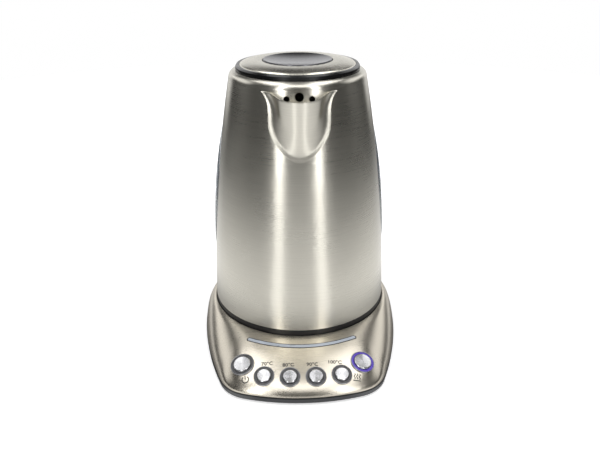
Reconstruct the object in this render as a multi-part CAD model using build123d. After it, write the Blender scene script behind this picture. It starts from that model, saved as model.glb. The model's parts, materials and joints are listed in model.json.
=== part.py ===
from build123d import *
import math
import os

# A cordless electric kettle on its powered base. Millimetres, +Z up, front (spout) towards -Y.
# While it is drawn, z = 0 is the table and the jug's axis is x = y = 0. At the end the whole
# kettle is moved so that its bounding box is centred on x = y = 0.

# ---- jug: steel wall, rim and foot ----
jug_foot_radius = 77.6
jug_waist_radius = 72.6
jug_shoulder_radius = 57.0
jug_foot_height = 34.0
jug_waist_rise = 86.0
jug_side_height = 199.0
shoulder_height = 5.3
rim_drop_in = 4.6
lip_width = 1.5
jug_wall = 0.9

# ---- base: plan outline, heights and walls ----
seat_gap = 0.7
seat_edge = 0.7
base_side_margin = 9.4
base_front_margin = 52.7
base_front_radius = 170.0
base_side_radius = 312.0
base_corner_radius = 30.0
base_rear_centre = 6.0
foot_pad_radius = 7.0
foot_pad_gap = 1.2
foot_pad_recess = 1.4
tray_floor = 2.0
tray_side = 2.0
tray_height = 4.8
gasket_height = 1.2
gasket_proud = 0.3
gasket_width = 2.5
cover_crown = 21.8
cover_wall = 1.0
collar_depth = 4.0
seat_drop = 0.8
body_gap = 0.3

# ---- controls on the base ----
button_travel = 1.0
small_cap_radius = 5.75
small_ring_radius = 7.9
small_bezel_radius = 8.5
big_cap_radius = 7.25
big_ring_radius = 9.4
big_bezel_radius = 10.0
inner_button_x = 10.4
inner_button_set_back = 12.4
outer_button_x = 31.2
outer_button_set_back = 14.7
big_button_x = 49.0
big_button_set_back = 26.7
cap_proud = 1.6
cap_depth = 3.0
bezel_depth = 2.5
bezel_proud = 0.5
ring_proud = 0.2
switch_height = 2.6
switch_side = 6.0
board_depth = 10.5
board_tilt = 8.0
board_thickness = 1.2
light_bar_radius = 91.2
light_bar_width = 2.8
light_bar_half_angle = 30.0
light_bar_proud = 0.2

# ---- power socket and jug connector ----
socket_radius = 17.4
socket_rise = 9.3
connector_gap = 0.5
connector_wall = 3.6
swivel_clearance = 0.08
pin_radius = 1.6
contact_radii = (5.8, 11.2)
contact_thickness = 0.8
slot_width = 2.4
leaf_thickness = 0.4

# ---- heater and the jug's bottom ----
floor_height = 50.0
floor_sheet = 1.0
diffuser_radius = 58.0
diffuser_thickness = 3.5
element_radius = 45.0
element_tube_radius = 3.6
element_gap_angle = 50.0
probe_radius = 2.5
probe_reach = 12.0
probe_offset = 20.0
probe_seal_wall = 2.0
bottom_ring_height = 5.5
bottom_disc = 2.0
bottom_screw_radius = 1.5

# ---- water windows ----
window_low = 78.0
window_high = 194.0
window_widest = 130.0
window_half_width = 11.0
window_proud = 2.3
window_curve = 28.0
window_wall = 2.4
window_flange = 3.0
window_seal = 0.6
window_fit = 0.15

# ---- spout ----
spout_reach = 20.0
spout_height = 43.0
spout_below_rim = 9.3
spout_rim_fall = 2.0
nose_top_radius = 17.6
nose_foot_radius = 15.0
spout_flare = 29.0
spout_wall = 0.9
spout_flange = 4.5
spout_flange_sheet = 0.6

# ---- lid ----
lid_overhang = 0.1
lid_gap = 0.4
lid_ring_height = 3.9
lid_plug_gap = 1.0
lid_plug_depth = 8.2
lid_wall = 2.5
lid_button_radius = 28.4
lid_button_gap = 0.6
lid_button_travel = 2.5
lid_button_dish = 2.3
lid_button_sheet = 1.6
lid_dome = 2.8
lid_sheet = 0.8
latch_thickness = 2.1
latch_half_width = 5.0
latch_short_fall = 0.4
wedge_gap = 0.45

# ---- hinge and handle ----
hinge_behind = 9.1
hinge_drop = 1.5
hinge_pin_radius = 1.5
hinge_knuckle_radius = 3.4
hinge_knuckle_half = 8.6
hinge_clearance = 0.05
ear_thickness = 3.0
ear_gap = 0.4
handle_half_width = 14.0
handle_fillet = 5.0
finger_gap = 25.0
handle_thickness = 18.0
handle_low = 60.0
handle_foot_height = 28.0
handle_top_height = 19.0
grip_half_width = 9.0
grip_depth = 4.0

# ---- sizes that follow from the ones above ----
BOTTOM = (Align.CENTER, Align.CENTER, Align.MIN)
shoulder_z = jug_foot_height + jug_side_height
rim_z = shoulder_z + shoulder_height
lip_outer = jug_shoulder_radius - rim_drop_in
lip_inner = lip_outer - lip_width
seat_hole = jug_foot_radius + seat_gap
seat_radius = seat_hole + seat_edge
base_half_width = seat_radius + base_side_margin
base_front = seat_radius + base_front_margin
tray_top = foot_pad_gap + tray_height
cover_bottom = tray_top + gasket_height
seat_top = cover_bottom + cover_crown
dish_top = seat_top - seat_drop
jug_base = dish_top + body_gap


def circle_through(a, b, c):
    """Centre and radius of the circle through three points (radius, height)."""
    (ax, ay), (bx, by), (cx, cy) = a, b, c
    d = 2 * (ax * (by - cy) + bx * (cy - ay) + cx * (ay - by))
    a2, b2, c2 = ax * ax + ay * ay, bx * bx + by * by, cx * cx + cy * cy
    x = (a2 * (by - cy) + b2 * (cy - ay) + c2 * (ay - by)) / d
    y = (a2 * (cx - bx) + b2 * (ax - cx) + c2 * (bx - ax)) / d
    return x, y, math.hypot(ax - x, ay - y)


side_centre_r, side_centre_z, side_curve = circle_through(
    (jug_foot_radius, jug_foot_height),
    (jug_waist_radius, jug_foot_height + jug_waist_rise),
    (jug_shoulder_radius, shoulder_z),
)


def jug_radius(z, inset=0.0):
    """Radius of the jug's side at height z, moved inwards by inset."""
    return side_centre_r + math.sqrt((side_curve - inset) ** 2 - (z - side_centre_z) ** 2)


def side_arc(low, high, inset=0.0):
    """The jug's side as one arc in the XZ plane, between two heights."""
    middle = (low + high) / 2
    points = [(jug_radius(z, inset), 0, z) for z in (low, middle, high)]
    return ThreePointArc(*points)


def turned(*edges):
    """A closed outline in the XZ plane, turned about the jug's axis."""
    return revolve(make_face(Wire(edges)), Axis.Z)


def turned_outline(*points):
    """A closed polygon of (radius, height) points, turned about the jug's axis."""
    return revolve(make_face(Polyline(*[(r, 0, z) for r, z in points], close=True)), Axis.Z)


def tube(outer, inner, low, high):
    """A straight ring about the jug's axis."""
    ring = Pos(0, 0, low) * Cylinder(outer, high - low, align=BOTTOM)
    if inner > 0:
        ring -= Pos(0, 0, low) * Cylinder(inner, high - low, align=BOTTOM)
    return ring


def block(x, y, z):
    """A box between two x, two y and two z values."""
    size = (x[1] - x[0], y[1] - y[0], z[1] - z[0])
    middle = (sum(x) / 2, sum(y) / 2, sum(z) / 2)
    return Pos(*middle) * Box(*size)


def upright(x, y, low, high, radius):
    """A vertical cylinder standing at x, y."""
    return Pos(x, y, low) * Cylinder(radius, high - low, align=BOTTOM)


def one(shape):
    """The single solid of a shape, or the shape itself when it is a group."""
    solids = shape.solids()
    return solids[0] if len(solids) == 1 else Compound(list(solids))


def group(shapes):
    """Separate solids kept together in one node."""
    return Compound([solid for shape in shapes for solid in shape.solids()])


def both_sides(shape):
    """A shape and its mirror image across the kettle's middle plane."""
    return group([shape, mirror(shape, Plane.YZ)])


# ================================ jug ================================


def jug_space(low, high, inset=0.0):
    """Everything inside the jug's side between two heights."""
    return turned(
        Line((0, 0, low), (jug_radius(low, inset), 0, low)),
        side_arc(low, high, inset),
        Line((jug_radius(high, inset), 0, high), (0, 0, high)),
        Line((0, 0, high), (0, 0, low)),
    )


def jug_volume():
    """The jug's full outer form, shoulder included, taken past the foot and rim."""
    middle = (jug_shoulder_radius - rim_drop_in * 0.3, 0, shoulder_z + shoulder_height * 0.68)
    return turned(
        Line((0, 0, jug_foot_height), (jug_radius(jug_foot_height), 0, jug_foot_height)),
        side_arc(jug_foot_height, shoulder_z),
        ThreePointArc((jug_shoulder_radius, 0, shoulder_z), middle, (lip_outer, 0, rim_z)),
        Line((lip_outer, 0, rim_z), (0, 0, rim_z)),
        Line((0, 0, rim_z), (0, 0, jug_foot_height)),
    )


def window_lens(grow):
    """A prism through the jug's +X side with the window's pointed outline."""
    low, high = window_low - 2 * grow, window_high + 2 * grow
    half = window_half_width + grow
    start = jug_shoulder_radius - 12
    edges = [
        ThreePointArc((start, 0, low), (start, side * half, window_widest), (start, 0, high))
        for side in (1, -1)
    ]
    return extrude(make_face(Wire(edges)), jug_foot_radius - start + 10, dir=(1, 0, 0))


def window_bulge(depth):
    """The window's bulging outer form, moved in by depth."""
    axis_x = jug_radius(window_widest) - window_curve
    middle = (window_low + window_high) / 2
    low = (jug_radius(window_low) - depth, 0, window_low)
    top = (jug_radius(window_high) - depth, 0, window_high)
    crest = (jug_radius(middle) + window_proud - depth, 0, middle)
    face = make_face(
        Wire(
            [
                Line((axis_x, 0, window_low), low),
                ThreePointArc(low, crest, top),
                Line(top, (axis_x, 0, window_high)),
                Line((axis_x, 0, window_high), (axis_x, 0, window_low)),
            ]
        )
    )
    return revolve(face, Axis((axis_x, 0, 0), (0, 0, 1)))


def wall_layer(outer, inner):
    """The jug's side between two insets, over the windows' height."""
    low, high = window_low - 20, window_high + 20
    return jug_space(low, high, outer) - jug_space(low - 1, high + 1, inner)


flange_face = jug_wall + window_seal
flange_back = flange_face + 1.5
frame_back = flange_back + 1.5


def water_window():
    """The right-hand clear window, with its clamping flange inside the wall."""
    strip = (window_lens(-window_fit) & window_bulge(0)) - jug_space(60, 220, flange_back)
    flange = window_lens(window_flange) & wall_layer(flange_face, flange_back)
    hollow = window_lens(-window_flange) & window_bulge(window_wall)
    return one(strip + flange - hollow)


def window_seal_ring():
    """The silicone gasket between the window's flange and the wall."""
    ring = window_lens(window_flange) - window_lens(0)
    return ring & wall_layer(jug_wall, flange_face)


def window_frame():
    """The frame that clamps the window from inside the jug."""
    ring = window_lens(window_flange + 1.5) - window_lens(-window_flange + 0.5)
    return ring & wall_layer(flange_back, frame_back)


# strainer holes in the wall behind the spout: x, distance below the rim, radius
strainer_holes = [(0.0, 10.2, 3.4)]
strainer_holes += [(side * 9.6, 11.8, 2.3) for side in (1, -1)]
strainer_holes += [(x, 20.5, 2.5) for x in (-13.0, -4.5, 4.5, 13.0)]
strainer_holes += [(x, 29.0, 2.5) for x in (-8.5, 0.0, 8.5)]


def jug_shell():
    """The drawn steel wall with its turned-in lip, window slots and strainer holes."""
    outer_mid = (jug_shoulder_radius - rim_drop_in * 0.3, 0, shoulder_z + shoulder_height * 0.68)
    inner_mid = (outer_mid[0] - jug_wall * 0.8, 0, outer_mid[2] - jug_wall * 0.6)
    inner_top = (jug_radius(shoulder_z, jug_wall), 0, shoulder_z)
    lip_low = rim_z - jug_wall
    shell = turned(
        side_arc(jug_foot_height, shoulder_z),
        ThreePointArc((jug_shoulder_radius, 0, shoulder_z), outer_mid, (lip_outer, 0, rim_z)),
        Line((lip_outer, 0, rim_z), (lip_inner, 0, rim_z)),
        Line((lip_inner, 0, rim_z), (lip_inner, 0, lip_low)),
        Line((lip_inner, 0, lip_low), (lip_outer, 0, lip_low)),
        ThreePointArc((lip_outer, 0, lip_low), inner_mid, inner_top),
        side_arc(jug_foot_height, shoulder_z, jug_wall),
        Line((jug_radius(jug_foot_height, jug_wall), 0, jug_foot_height), (jug_foot_radius, 0, jug_foot_height)),
    )
    slot = window_lens(0)
    shell -= slot
    shell -= mirror(slot, Plane.YZ)
    for x, below, radius in strainer_holes:
        hole = Cylinder(radius, jug_foot_radius, rotation=(90, 0, 0), align=BOTTOM)
        shell -= Pos(x, 0, rim_z - below) * hole
    return one(shell)


def spout_section(z, inset):
    """Plan outline of the spout at height z: flared sides that meet a round nose."""
    top = rim_z - spout_below_rim
    share = (z - (top - spout_height)) / spout_height
    foot_tip = jug_radius(top - spout_height) - 0.5
    tip = foot_tip + (jug_radius(top) + spout_reach - foot_tip) * share
    radius = nose_foot_radius + (nose_top_radius - nose_foot_radius) * share
    centre = tip - radius
    radius -= inset
    lean = math.radians(spout_flare) * max(0.0, (share - 0.33) / 0.67) ** 1.3
    touch = (radius * math.cos(lean), -centre - radius * math.sin(lean))
    back = -jug_shoulder_radius * 0.6
    run = (back - touch[1]) * math.tan(lean)
    corner = (touch[0] + run, back)
    edges = [
        Line((*corner, z), (*touch, z)),
        ThreePointArc((*touch, z), (0, -centre - radius, z), (-touch[0], touch[1], z)),
        Line((-touch[0], touch[1], z), (-corner[0], back, z)),
        Line((-corner[0], back, z), (*corner, z)),
    ]
    return make_face(Wire(edges))


def spout_form(inset):
    """The spout as a full solid from below its foot to above its rim."""
    top = rim_z - spout_below_rim
    shares = (-0.4, 0.0, 0.33, 0.55, 0.75, 0.92, 1.08, 1.2)
    levels = [top - spout_height + share * spout_height for share in shares]
    return loft([spout_section(z, inset) for z in levels])


def spout():
    """The pressed steel beak welded over the strainer holes, with its flange."""
    top = rim_z - spout_below_rim
    beak = spout_form(0) - spout_form(spout_wall)
    layer = jug_space(top - spout_height - 20, top - 4, -spout_flange_sheet)
    flange = (spout_form(-spout_flange) & layer) - spout_form(spout_wall)
    beak += flange
    beak -= jug_volume()
    lean = math.degrees(math.atan2(spout_rim_fall, spout_reach))
    above = Pos(0, -jug_radius(top), top + spout_rim_fall) * Rot(lean, 0, 0) * Box(200, 200, 60, align=BOTTOM)
    return max((beak - above).solids(), key=lambda solid: solid.volume)


def bottom_cover():
    """The black plastic bottom with its foot ring, which shows below the steel."""
    outer = jug_foot_radius
    lip = jug_radius(jug_foot_height + 4, jug_wall) - 0.1
    wall = 1.3
    disc_low = jug_base + 3
    cover = turned_outline(
        (outer - 0.6, jug_base),
        (outer, jug_base + 0.6),
        (outer, jug_foot_height),
        (lip, jug_foot_height),
        (lip, jug_foot_height + 4),
        (lip - wall, jug_foot_height + 4),
        (lip - wall, disc_low + bottom_disc),
        (bottom_hole, disc_low + bottom_disc),
        (bottom_hole, disc_low),
        (outer - 2.4, disc_low),
        (outer - 2.4, jug_base),
    )
    for x, y in bottom_screw_places():
        cover -= upright(x, y, disc_low - 1, disc_low + bottom_disc + 1, bottom_screw_radius + 0.1)
    return one(cover)


connector_outer = socket_radius + connector_gap + connector_wall
housing_bore = connector_outer + swivel_clearance
housing_outer = housing_bore + 5
bottom_hole = housing_outer + 0.4
connector_top = jug_base + 13.5
housing_top = connector_top + body_gap + 1.5


def bottom_screw_places():
    """Three screws spaced evenly near the jug's wall."""
    reach = jug_foot_radius - 6.5
    angles = [math.radians(90 + 120 * k) for k in range(3)]
    return [(reach * math.cos(a), reach * math.sin(a)) for a in angles]


def bottom_mount_ring():
    """The steel ring inside the wall that the bottom cover's screws bite into."""
    low = jug_foot_height + 6
    ring = jug_space(low, low + 2, jug_wall) - tube(jug_foot_radius - 10, 0, low - 1, low + 3)
    for x, y in bottom_screw_places():
        ring -= upright(x, y, low - 1, low + 3, bottom_screw_radius)
    return one(ring)


def bottom_screws():
    """Screws that hold the bottom cover to its mounting ring."""
    low = jug_base + 3
    screws = []
    for x, y in bottom_screw_places():
        shank = upright(x, y, low, jug_foot_height + 8, bottom_screw_radius)
        screws.append(shank + upright(x, y, low - 1.4, low, bottom_screw_radius * 2))
    return group(screws)


def vessel_floor():
    """The steel floor of the water space, with a turned-down skirt against the wall."""
    skirt = jug_space(floor_height - 5, floor_height, jug_wall)
    skirt -= jug_space(floor_height - 6, floor_height + 1, jug_wall + floor_sheet)
    disc = jug_space(floor_height, floor_height + floor_sheet, jug_wall)
    return one(skirt + disc - probe_hole())


def probe_hole():
    """The hole for the temperature probe's seal, through floor and diffuser."""
    return upright(0, -probe_offset, floor_height - 10, floor_height + 5, probe_radius + probe_seal_wall)


def heat_diffuser():
    """The aluminium plate brazed under the floor."""
    plate = tube(diffuser_radius, 0, floor_height - diffuser_thickness, floor_height)
    return one(plate - probe_hole())


def heating_element():
    """The sheathed heating tube, a ring with a gap, and its two cold ends."""
    height = floor_height - diffuser_thickness - element_tube_radius
    start = 90 + element_gap_angle / 2
    path = Pos(0, 0, height) * CenterArc((0, 0), element_radius, start, 360 - element_gap_angle)
    section = Plane(origin=path @ 0, z_dir=path % 0) * Circle(element_tube_radius)
    element = sweep(section, path)
    for end in (0, 1):
        at = path @ end
        element += upright(at.X, at.Y, height - 8, height, 2.0)
        element += Pos(at.X, at.Y, height) * Sphere(element_tube_radius)
    return one(element)


def temperature_probe():
    """The steel sleeve of the temperature sensor, standing up into the water."""
    low = housing_top + 0.4
    high = floor_height + floor_sheet + probe_reach
    sleeve = upright(0, -probe_offset, low, high - probe_radius, probe_radius)
    return one(sleeve + Pos(0, -probe_offset, high - probe_radius) * Sphere(probe_radius))


def probe_seal():
    """The silicone grommet round the probe."""
    low = floor_height - diffuser_thickness
    high = floor_height + floor_sheet + 1.5
    ring = upright(0, -probe_offset, low, high, probe_radius + probe_seal_wall)
    return one(ring - upright(0, -probe_offset, low - 1, high + 1, probe_radius))


def control_housing():
    """The plastic housing that holds the jug's connector under the heater."""
    ring = tube(housing_outer, housing_bore, jug_base + 5.2, housing_top)
    return one(ring + tube(housing_outer, 0, connector_top + body_gap, housing_top))


def dry_boil_discs():
    """Two bimetal discs that cut the power when the jug is boiled dry."""
    discs = []
    for side in (1, -1):
        disc = upright(side * 13, side * 8, housing_top, floor_height - diffuser_thickness, 6.5)
        discs.append(disc)
    return group(discs)


def jug_connector():
    """The round connector in the jug's bottom, which drops over the base socket."""
    inner = socket_radius + connector_gap
    body = tube(connector_outer, inner, jug_base, connector_top)
    body += tube(connector_outer, 0, connector_top - 2, connector_top)
    return one(body)


def connector_contacts():
    """The connector's centre pin and two contact rings."""
    high = connector_top - 2
    low = seat_top + 1
    parts = [tube(pin_radius, 0, low, high)]
    for radius in contact_radii:
        half = contact_thickness / 2
        parts.append(tube(radius + half, radius - half, low, high))
    return group(parts)


# ================================ lid ================================

lid_outer = lip_inner + lid_overhang
lid_low = rim_z + lid_gap
lid_top = lid_low + lid_ring_height
plug_outer = lip_inner - lid_plug_gap
plug_inner = plug_outer - lid_wall
plug_low = lid_low - lid_plug_depth
cover_seat = lid_top - 0.7
cover_outer = lid_outer - 3.4
hub_low = plug_low + 2.5
hub_top = hub_low + 2.0
latch_low = hub_top + body_gap
latch_top = latch_low + latch_thickness
hinge_y = lip_outer + hinge_behind
hinge_z = rim_z - hinge_drop
button_edge = cover_seat + lid_sheet + lid_dome + 0.6
slot_end = lid_button_radius + 2.8
tab_outer = lid_button_radius - 1.9
tab_inner = tab_outer - 4
tab_bevel = 2.3
tab_base = latch_top + 0.5
wedge_half_width = 2.0
stem_radius = 5.8


def lid_ring():
    """The black trim ring with its plug wall and the arm that reaches the hinge."""
    ring = turned_outline(
        (plug_outer, plug_low),
        (plug_outer, lid_low),
        (lid_outer, lid_low),
        (lid_outer, lid_top - 1.2),
        (lid_outer - 1.1, lid_top),
        (cover_outer + 0.2, lid_top),
        (cover_outer + 0.2, cover_seat),
        (cover_outer - 2.0, cover_seat),
        (cover_outer - 2.0, cover_seat - 1.4),
        (plug_inner, lid_low + 0.2),
        (plug_inner, plug_low),
    )
    half = hinge_knuckle_half
    arm = block((-half, half), (lid_outer - 1.5, hinge_y), (lid_low + 0.2, lid_low + 2.3))
    knuckle = Pos(0, hinge_y, hinge_z) * Rot(0, 90, 0) * Cylinder(hinge_knuckle_radius, 2 * half)
    bore = Pos(0, hinge_y, hinge_z) * Rot(0, 90, 0) * Cylinder(hinge_pin_radius + hinge_clearance, 3 * half)
    ring += arm
    ring += knuckle
    ring -= bore
    side = latch_half_width + body_gap
    ring -= block((-lid_outer - 1, lid_outer + 1), (-side, side), (hub_top, latch_top + body_gap))
    return one(ring)


def lid_cover():
    """The domed steel top of the lid, with a turned-down edge round the button."""
    inner = lid_button_radius + lid_button_gap
    top = cover_seat + lid_sheet
    middle = (inner + cover_outer) / 2
    crest = top + lid_dome
    rise = top + lid_dome * 0.66
    edge = inner + lid_sheet
    dome = turned(
        ThreePointArc((cover_outer, 0, top), (middle, 0, rise), (inner, 0, crest)),
        Line((inner, 0, crest), (inner, 0, crest - 2.2)),
        Line((inner, 0, crest - 2.2), (edge, 0, crest - 2.2)),
        Line((edge, 0, crest - 2.2), (edge, 0, crest - lid_sheet - 0.1)),
        ThreePointArc((edge, 0, crest - lid_sheet - 0.1), (middle, 0, rise - lid_sheet), (cover_outer, 0, cover_seat)),
        Line((cover_outer, 0, cover_seat), (cover_outer, 0, top)),
    )
    return one(dome)


def lid_hub():
    """The plastic plate inside the lid, with the button's guide and the latch rails."""
    hub = tube(plug_inner, stem_radius + 0.4, hub_low, hub_top)
    hub += tube(stem_radius + 2.4, stem_radius + 0.4, hub_low, button_edge - 7.0)
    gap = latch_half_width + body_gap
    for side in (1, -1):
        for end in (1, -1):
            xs = sorted((end * 18, end * (plug_inner - 2)))
            ys = sorted((side * gap, side * (gap + 1.4)))
            hub += block(xs, ys, (hub_top, latch_top + 0.9))
    for x, y in lid_screw_places():
        hub -= upright(x, y, hub_low - 1, hub_top + 1, 1.3)
    return one(hub)


def lid_screw_places():
    """Three screws through the lid's inner plate."""
    reach = plug_inner - 12
    angles = [math.radians(30 + 120 * k) for k in range(3)]
    return [(reach * math.cos(a), reach * math.sin(a)) for a in angles]


def lid_screws():
    """Screws that hold the inner plate to the hub."""
    screws = []
    for x, y in lid_screw_places():
        shank = upright(x, y, plug_low, hub_top, 1.3)
        screws.append(shank + upright(x, y, plug_low - lid_sheet - 0.9, plug_low, 2.4))
    return group(screws)


def lid_inner_plate():
    """The steel plate that closes the lid towards the water."""
    plate = tube(plug_outer - 1.2, 0, plug_low - lid_sheet, plug_low)
    for x, y in lid_screw_places():
        plate -= upright(x, y, plug_low - 3, plug_low + 1, 2.4)
    return one(plate)


def lid_seal():
    """The silicone ring round the lid's plug."""
    seal = turned_outline(
        (plug_outer, plug_low + 0.4),
        (plug_outer + 0.4, plug_low + 1.0),
        (plug_outer + 0.4, plug_low + 2.2),
        (plug_outer, plug_low + 2.6),
    )
    return one(seal)


def lid_button():
    """The dished lid-release button with its skirt, stem and two latch wedges."""
    rim, low = lid_button_radius, button_edge - lid_button_dish
    inner, skirt_low = rim - 1.2, button_edge - 4.6
    under, foot = low - lid_button_sheet, hub_top + 0.6
    edge_under = button_edge - lid_button_sheet - 0.3
    dish_rim = rim - 0.5
    dish_curve = (dish_rim**2 + lid_button_dish**2) / (2 * lid_button_dish)
    half_rise = dish_curve - math.sqrt(dish_curve**2 - (dish_rim / 2) ** 2)
    plate = turned(
        ThreePointArc((dish_rim, 0, button_edge), (dish_rim / 2, 0, low + half_rise), (0, 0, low)),
        Line((0, 0, low), (0, 0, foot)),
        Line((0, 0, foot), (stem_radius, 0, foot)),
        Line((stem_radius, 0, foot), (stem_radius, 0, under)),
        Line((stem_radius, 0, under), (inner, 0, edge_under)),
        Line((inner, 0, edge_under), (inner, 0, skirt_low)),
        Line((inner, 0, skirt_low), (rim, 0, skirt_low)),
        Line((rim, 0, skirt_low), (rim, 0, button_edge - 0.5)),
        Line((rim, 0, button_edge - 0.5), (dish_rim, 0, button_edge)),
    )
    return one(plate + both_sides(button_wedge()))


def button_wedge():
    """A 45 degree wedge under the button, beside the right-hand latch's tab."""
    face = tab_outer + tab_base + wedge_gap
    foot = latch_top + 0.9
    head = button_edge - 2.6
    outer = lid_button_radius - 0.5
    outline = [(face - foot, foot), (face - head, head), (outer, head), (outer, foot)]
    return prism_along_y(outline, wedge_half_width)


def prism_along_y(outline, half):
    """A polygon of (x, z) points, made as thick as 2 x half along Y."""
    face = make_face(Polyline(*[(x, half, z) for x, z in outline], close=True))
    return extrude(face, 2 * half, dir=(0, -1, 0))


def latch():
    """The right-hand bolt: a flat slide with a bevelled tab for the button's wedge."""
    tip = lip_inner - latch_short_fall
    bolt = block((tab_inner, tip), (-latch_half_width, latch_half_width), (latch_low, latch_top))
    half = wedge_half_width + 0.6
    bolt -= block((tab_outer, slot_end), (-half, half), (latch_low - 1, latch_top + 1))
    tab_top = tab_base + tab_bevel
    outline = [
        (tab_inner, latch_low),
        (tab_outer, latch_low),
        (tab_outer, tab_base),
        (tab_outer - tab_bevel, tab_top),
        (tab_inner, tab_top),
    ]
    return one(bolt + prism_along_y(outline, half))


def button_spring():
    """The coil spring that lifts the lid button, round its guide."""
    low, high = hub_top + 0.4, button_edge - 4.4
    radius = stem_radius + 4.2
    turns = 4
    coil = Pos(0, 0, low) * Helix((high - low) / turns, high - low, radius)
    section = Plane(origin=coil @ 0, z_dir=coil % 0) * Circle(0.4)
    return one(sweep(section, coil, is_frenet=True))


# ================================ hinge and handle ================================


def hinge_ear(side):
    """One upright ear of the hinge bracket."""
    near = hinge_knuckle_half + ear_gap
    xs = sorted((side * near, side * (near + ear_thickness)))
    radius = hinge_knuckle_radius
    ear = block(xs, (hinge_y - radius, hinge_y + radius), (hinge_z - 11, hinge_z))
    middle = sum(xs) / 2
    ear += Pos(middle, hinge_y, hinge_z) * Rot(0, 90, 0) * Cylinder(radius, ear_thickness)
    return ear


bracket_half = hinge_knuckle_half + ear_gap + ear_thickness
bracket_low = hinge_z - 18


def hinge_bracket():
    """The steel bracket welded to the jug's back, which carries the hinge pin."""
    low, high = bracket_low, hinge_z - 4.5
    plate = jug_space(low, high, -3.0) & block((-bracket_half, bracket_half), (20, 90), (low, high))
    plate += hinge_ear(1)
    plate += hinge_ear(-1)
    plate -= jug_volume()
    bore = Pos(0, hinge_y, hinge_z) * Rot(0, 90, 0) * Cylinder(hinge_pin_radius, 4 * bracket_half)
    return one(plate - bore)


def hinge_pin():
    """The steel pin through the bracket's ears and the lid's knuckle."""
    length = 2 * bracket_half
    return one(Pos(0, hinge_y, hinge_z) * Rot(0, 90, 0) * Cylinder(hinge_pin_radius, length))


def side_point(z, out):
    """A point in the YZ middle plane, as far behind the jug's side as out."""
    return (0, jug_radius(min(z, shoulder_z)) + out, z)


handle_top = hinge_z - 0.6
handle_foot_top = handle_low + handle_foot_height


def handle_inner_curve(deeper=0.0):
    """The finger side of the handle, from the top arm down to the foot."""
    top = handle_top - handle_top_height
    drop = top - handle_foot_top
    start, end = side_point(top + deeper, 2), side_point(handle_foot_top - deeper, 2)
    bend = side_point(top - 0.17 * drop, finger_gap + 1 + deeper)
    lower = side_point(top - 0.72 * drop, finger_gap - 6 + deeper)
    return Spline(start, bend, lower, end, tangents=[(0, 1, 0), (0, -0.6, -0.8)])


def handle_outer_curve():
    """The palm side of the handle, from the top arm down to the foot."""
    top = handle_top - handle_top_height
    drop = top - handle_foot_top
    deep = finger_gap + handle_thickness
    start, end = (0, hinge_y + 5, handle_top), side_point(handle_low, 10)
    bend = side_point(top - 0.12 * drop, deep + 1)
    lower = side_point(top - 0.72 * drop, deep - 7)
    return Spline(start, bend, lower, end, tangents=[(0, 1, 0), (0, -0.6, -0.8)])


def handle_form():
    """The whole handle as one rounded C-shape, cut to fit the jug and the bracket."""
    inner, outer = handle_inner_curve(), handle_outer_curve()
    root = 40.0
    edges = [
        inner,
        Line(inner @ 1, (0, root, (inner @ 1).Z)),
        Line((0, root, (inner @ 1).Z), (0, root, handle_low)),
        Line((0, root, handle_low), outer @ 1),
        outer,
        Line(outer @ 0, (0, root, handle_top)),
        Line((0, root, handle_top), (0, root, (inner @ 0).Z)),
        Line((0, root, (inner @ 0).Z), inner @ 0),
    ]
    side = Pos(-handle_half_width, 0, 0) * make_face(Wire(edges))
    form = extrude(side, 2 * handle_half_width, dir=(1, 0, 0))
    long_edges = form.edges().filter_by(
        lambda edge: abs(abs(edge.center().X) - handle_half_width) < 0.01 and edge.center().Y > root + 1
    )
    form = fillet(long_edges, handle_fillet)
    form -= jug_volume()
    gap = bracket_half + 0.3
    clear_y = hinge_y + hinge_knuckle_radius + 0.5
    form -= block((-gap, gap), (root - 1, clear_y), (bracket_low - 0.3, handle_top + 5))
    form -= foot_bracket_space(0.2)
    return form


def grip_band():
    """The strip of the handle, on its finger side, that the soft grip fills."""
    back = handle_inner_curve(grip_depth)
    space = make_face(Wire([back, Line(back @ 1, back @ 0)]))
    band = extrude(Pos(-grip_half_width, 0, 0) * space, 2 * grip_half_width, dir=(1, 0, 0))
    low, high = handle_foot_top + 10, handle_top - handle_top_height - 8
    return band & block((-50, 50), (0, 250), (low, high))


def foot_bracket_space(clearance):
    """The room for the lower bracket inside the handle's foot."""
    low = handle_low + 10 - clearance
    high = handle_low + 20 + clearance
    half = 8 + clearance
    reach = jug_radius(handle_low + 15) + 8 + clearance
    return block((-half, half), (40, reach), (low, high))


def handle_lower_bracket():
    """The steel block welded to the jug that the handle's foot is screwed to."""
    bracket = foot_bracket_space(0) - jug_volume()
    x, y = 0, jug_radius(handle_low + 15) + 4
    return one(bracket - upright(x, y, handle_low, handle_low + 17, 1.6))


def handle_shell():
    """The handle's hard outer moulding."""
    shell = handle_form() - grip_band()
    y = jug_radius(handle_low + 15) + 4
    shell -= upright(0, y, handle_low - 5, handle_low + 12, 1.8)
    shell -= upright(0, y, handle_low - 5, handle_low + 4, 3.4)
    return max(shell.solids(), key=lambda solid: solid.volume)


def handle_grip():
    """The soft grip strip on the finger side."""
    grip = handle_form() & grip_band()
    return max(grip.solids(), key=lambda solid: solid.volume)


def handle_screw():
    """The screw up through the handle's foot into the lower bracket."""
    y = jug_radius(handle_low + 15) + 4
    shank = upright(0, y, handle_low + 4, handle_low + 17, 1.6)
    return one(shank + upright(0, y, handle_low + 2, handle_low + 4, 3.2))


# ================================ base ================================

front_centre = Vector(0, base_front_radius - base_front)
side_centre = Vector(base_half_width - base_side_radius, base_rear_centre)
rear_centre = Vector(0, base_rear_centre)


def front_meeting(a, from_a, b, from_b):
    """The point at given distances from two centres, on the side nearer the front."""
    line = b - a
    along = (from_a**2 - from_b**2 + line.length**2) / (2 * line.length)
    across = math.sqrt(from_a**2 - along**2)
    foot = a + line.normalized() * along
    normal = Vector(-line.Y, line.X).normalized()
    return min((foot + normal * across, foot - normal * across), key=lambda point: point.Y)


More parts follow.
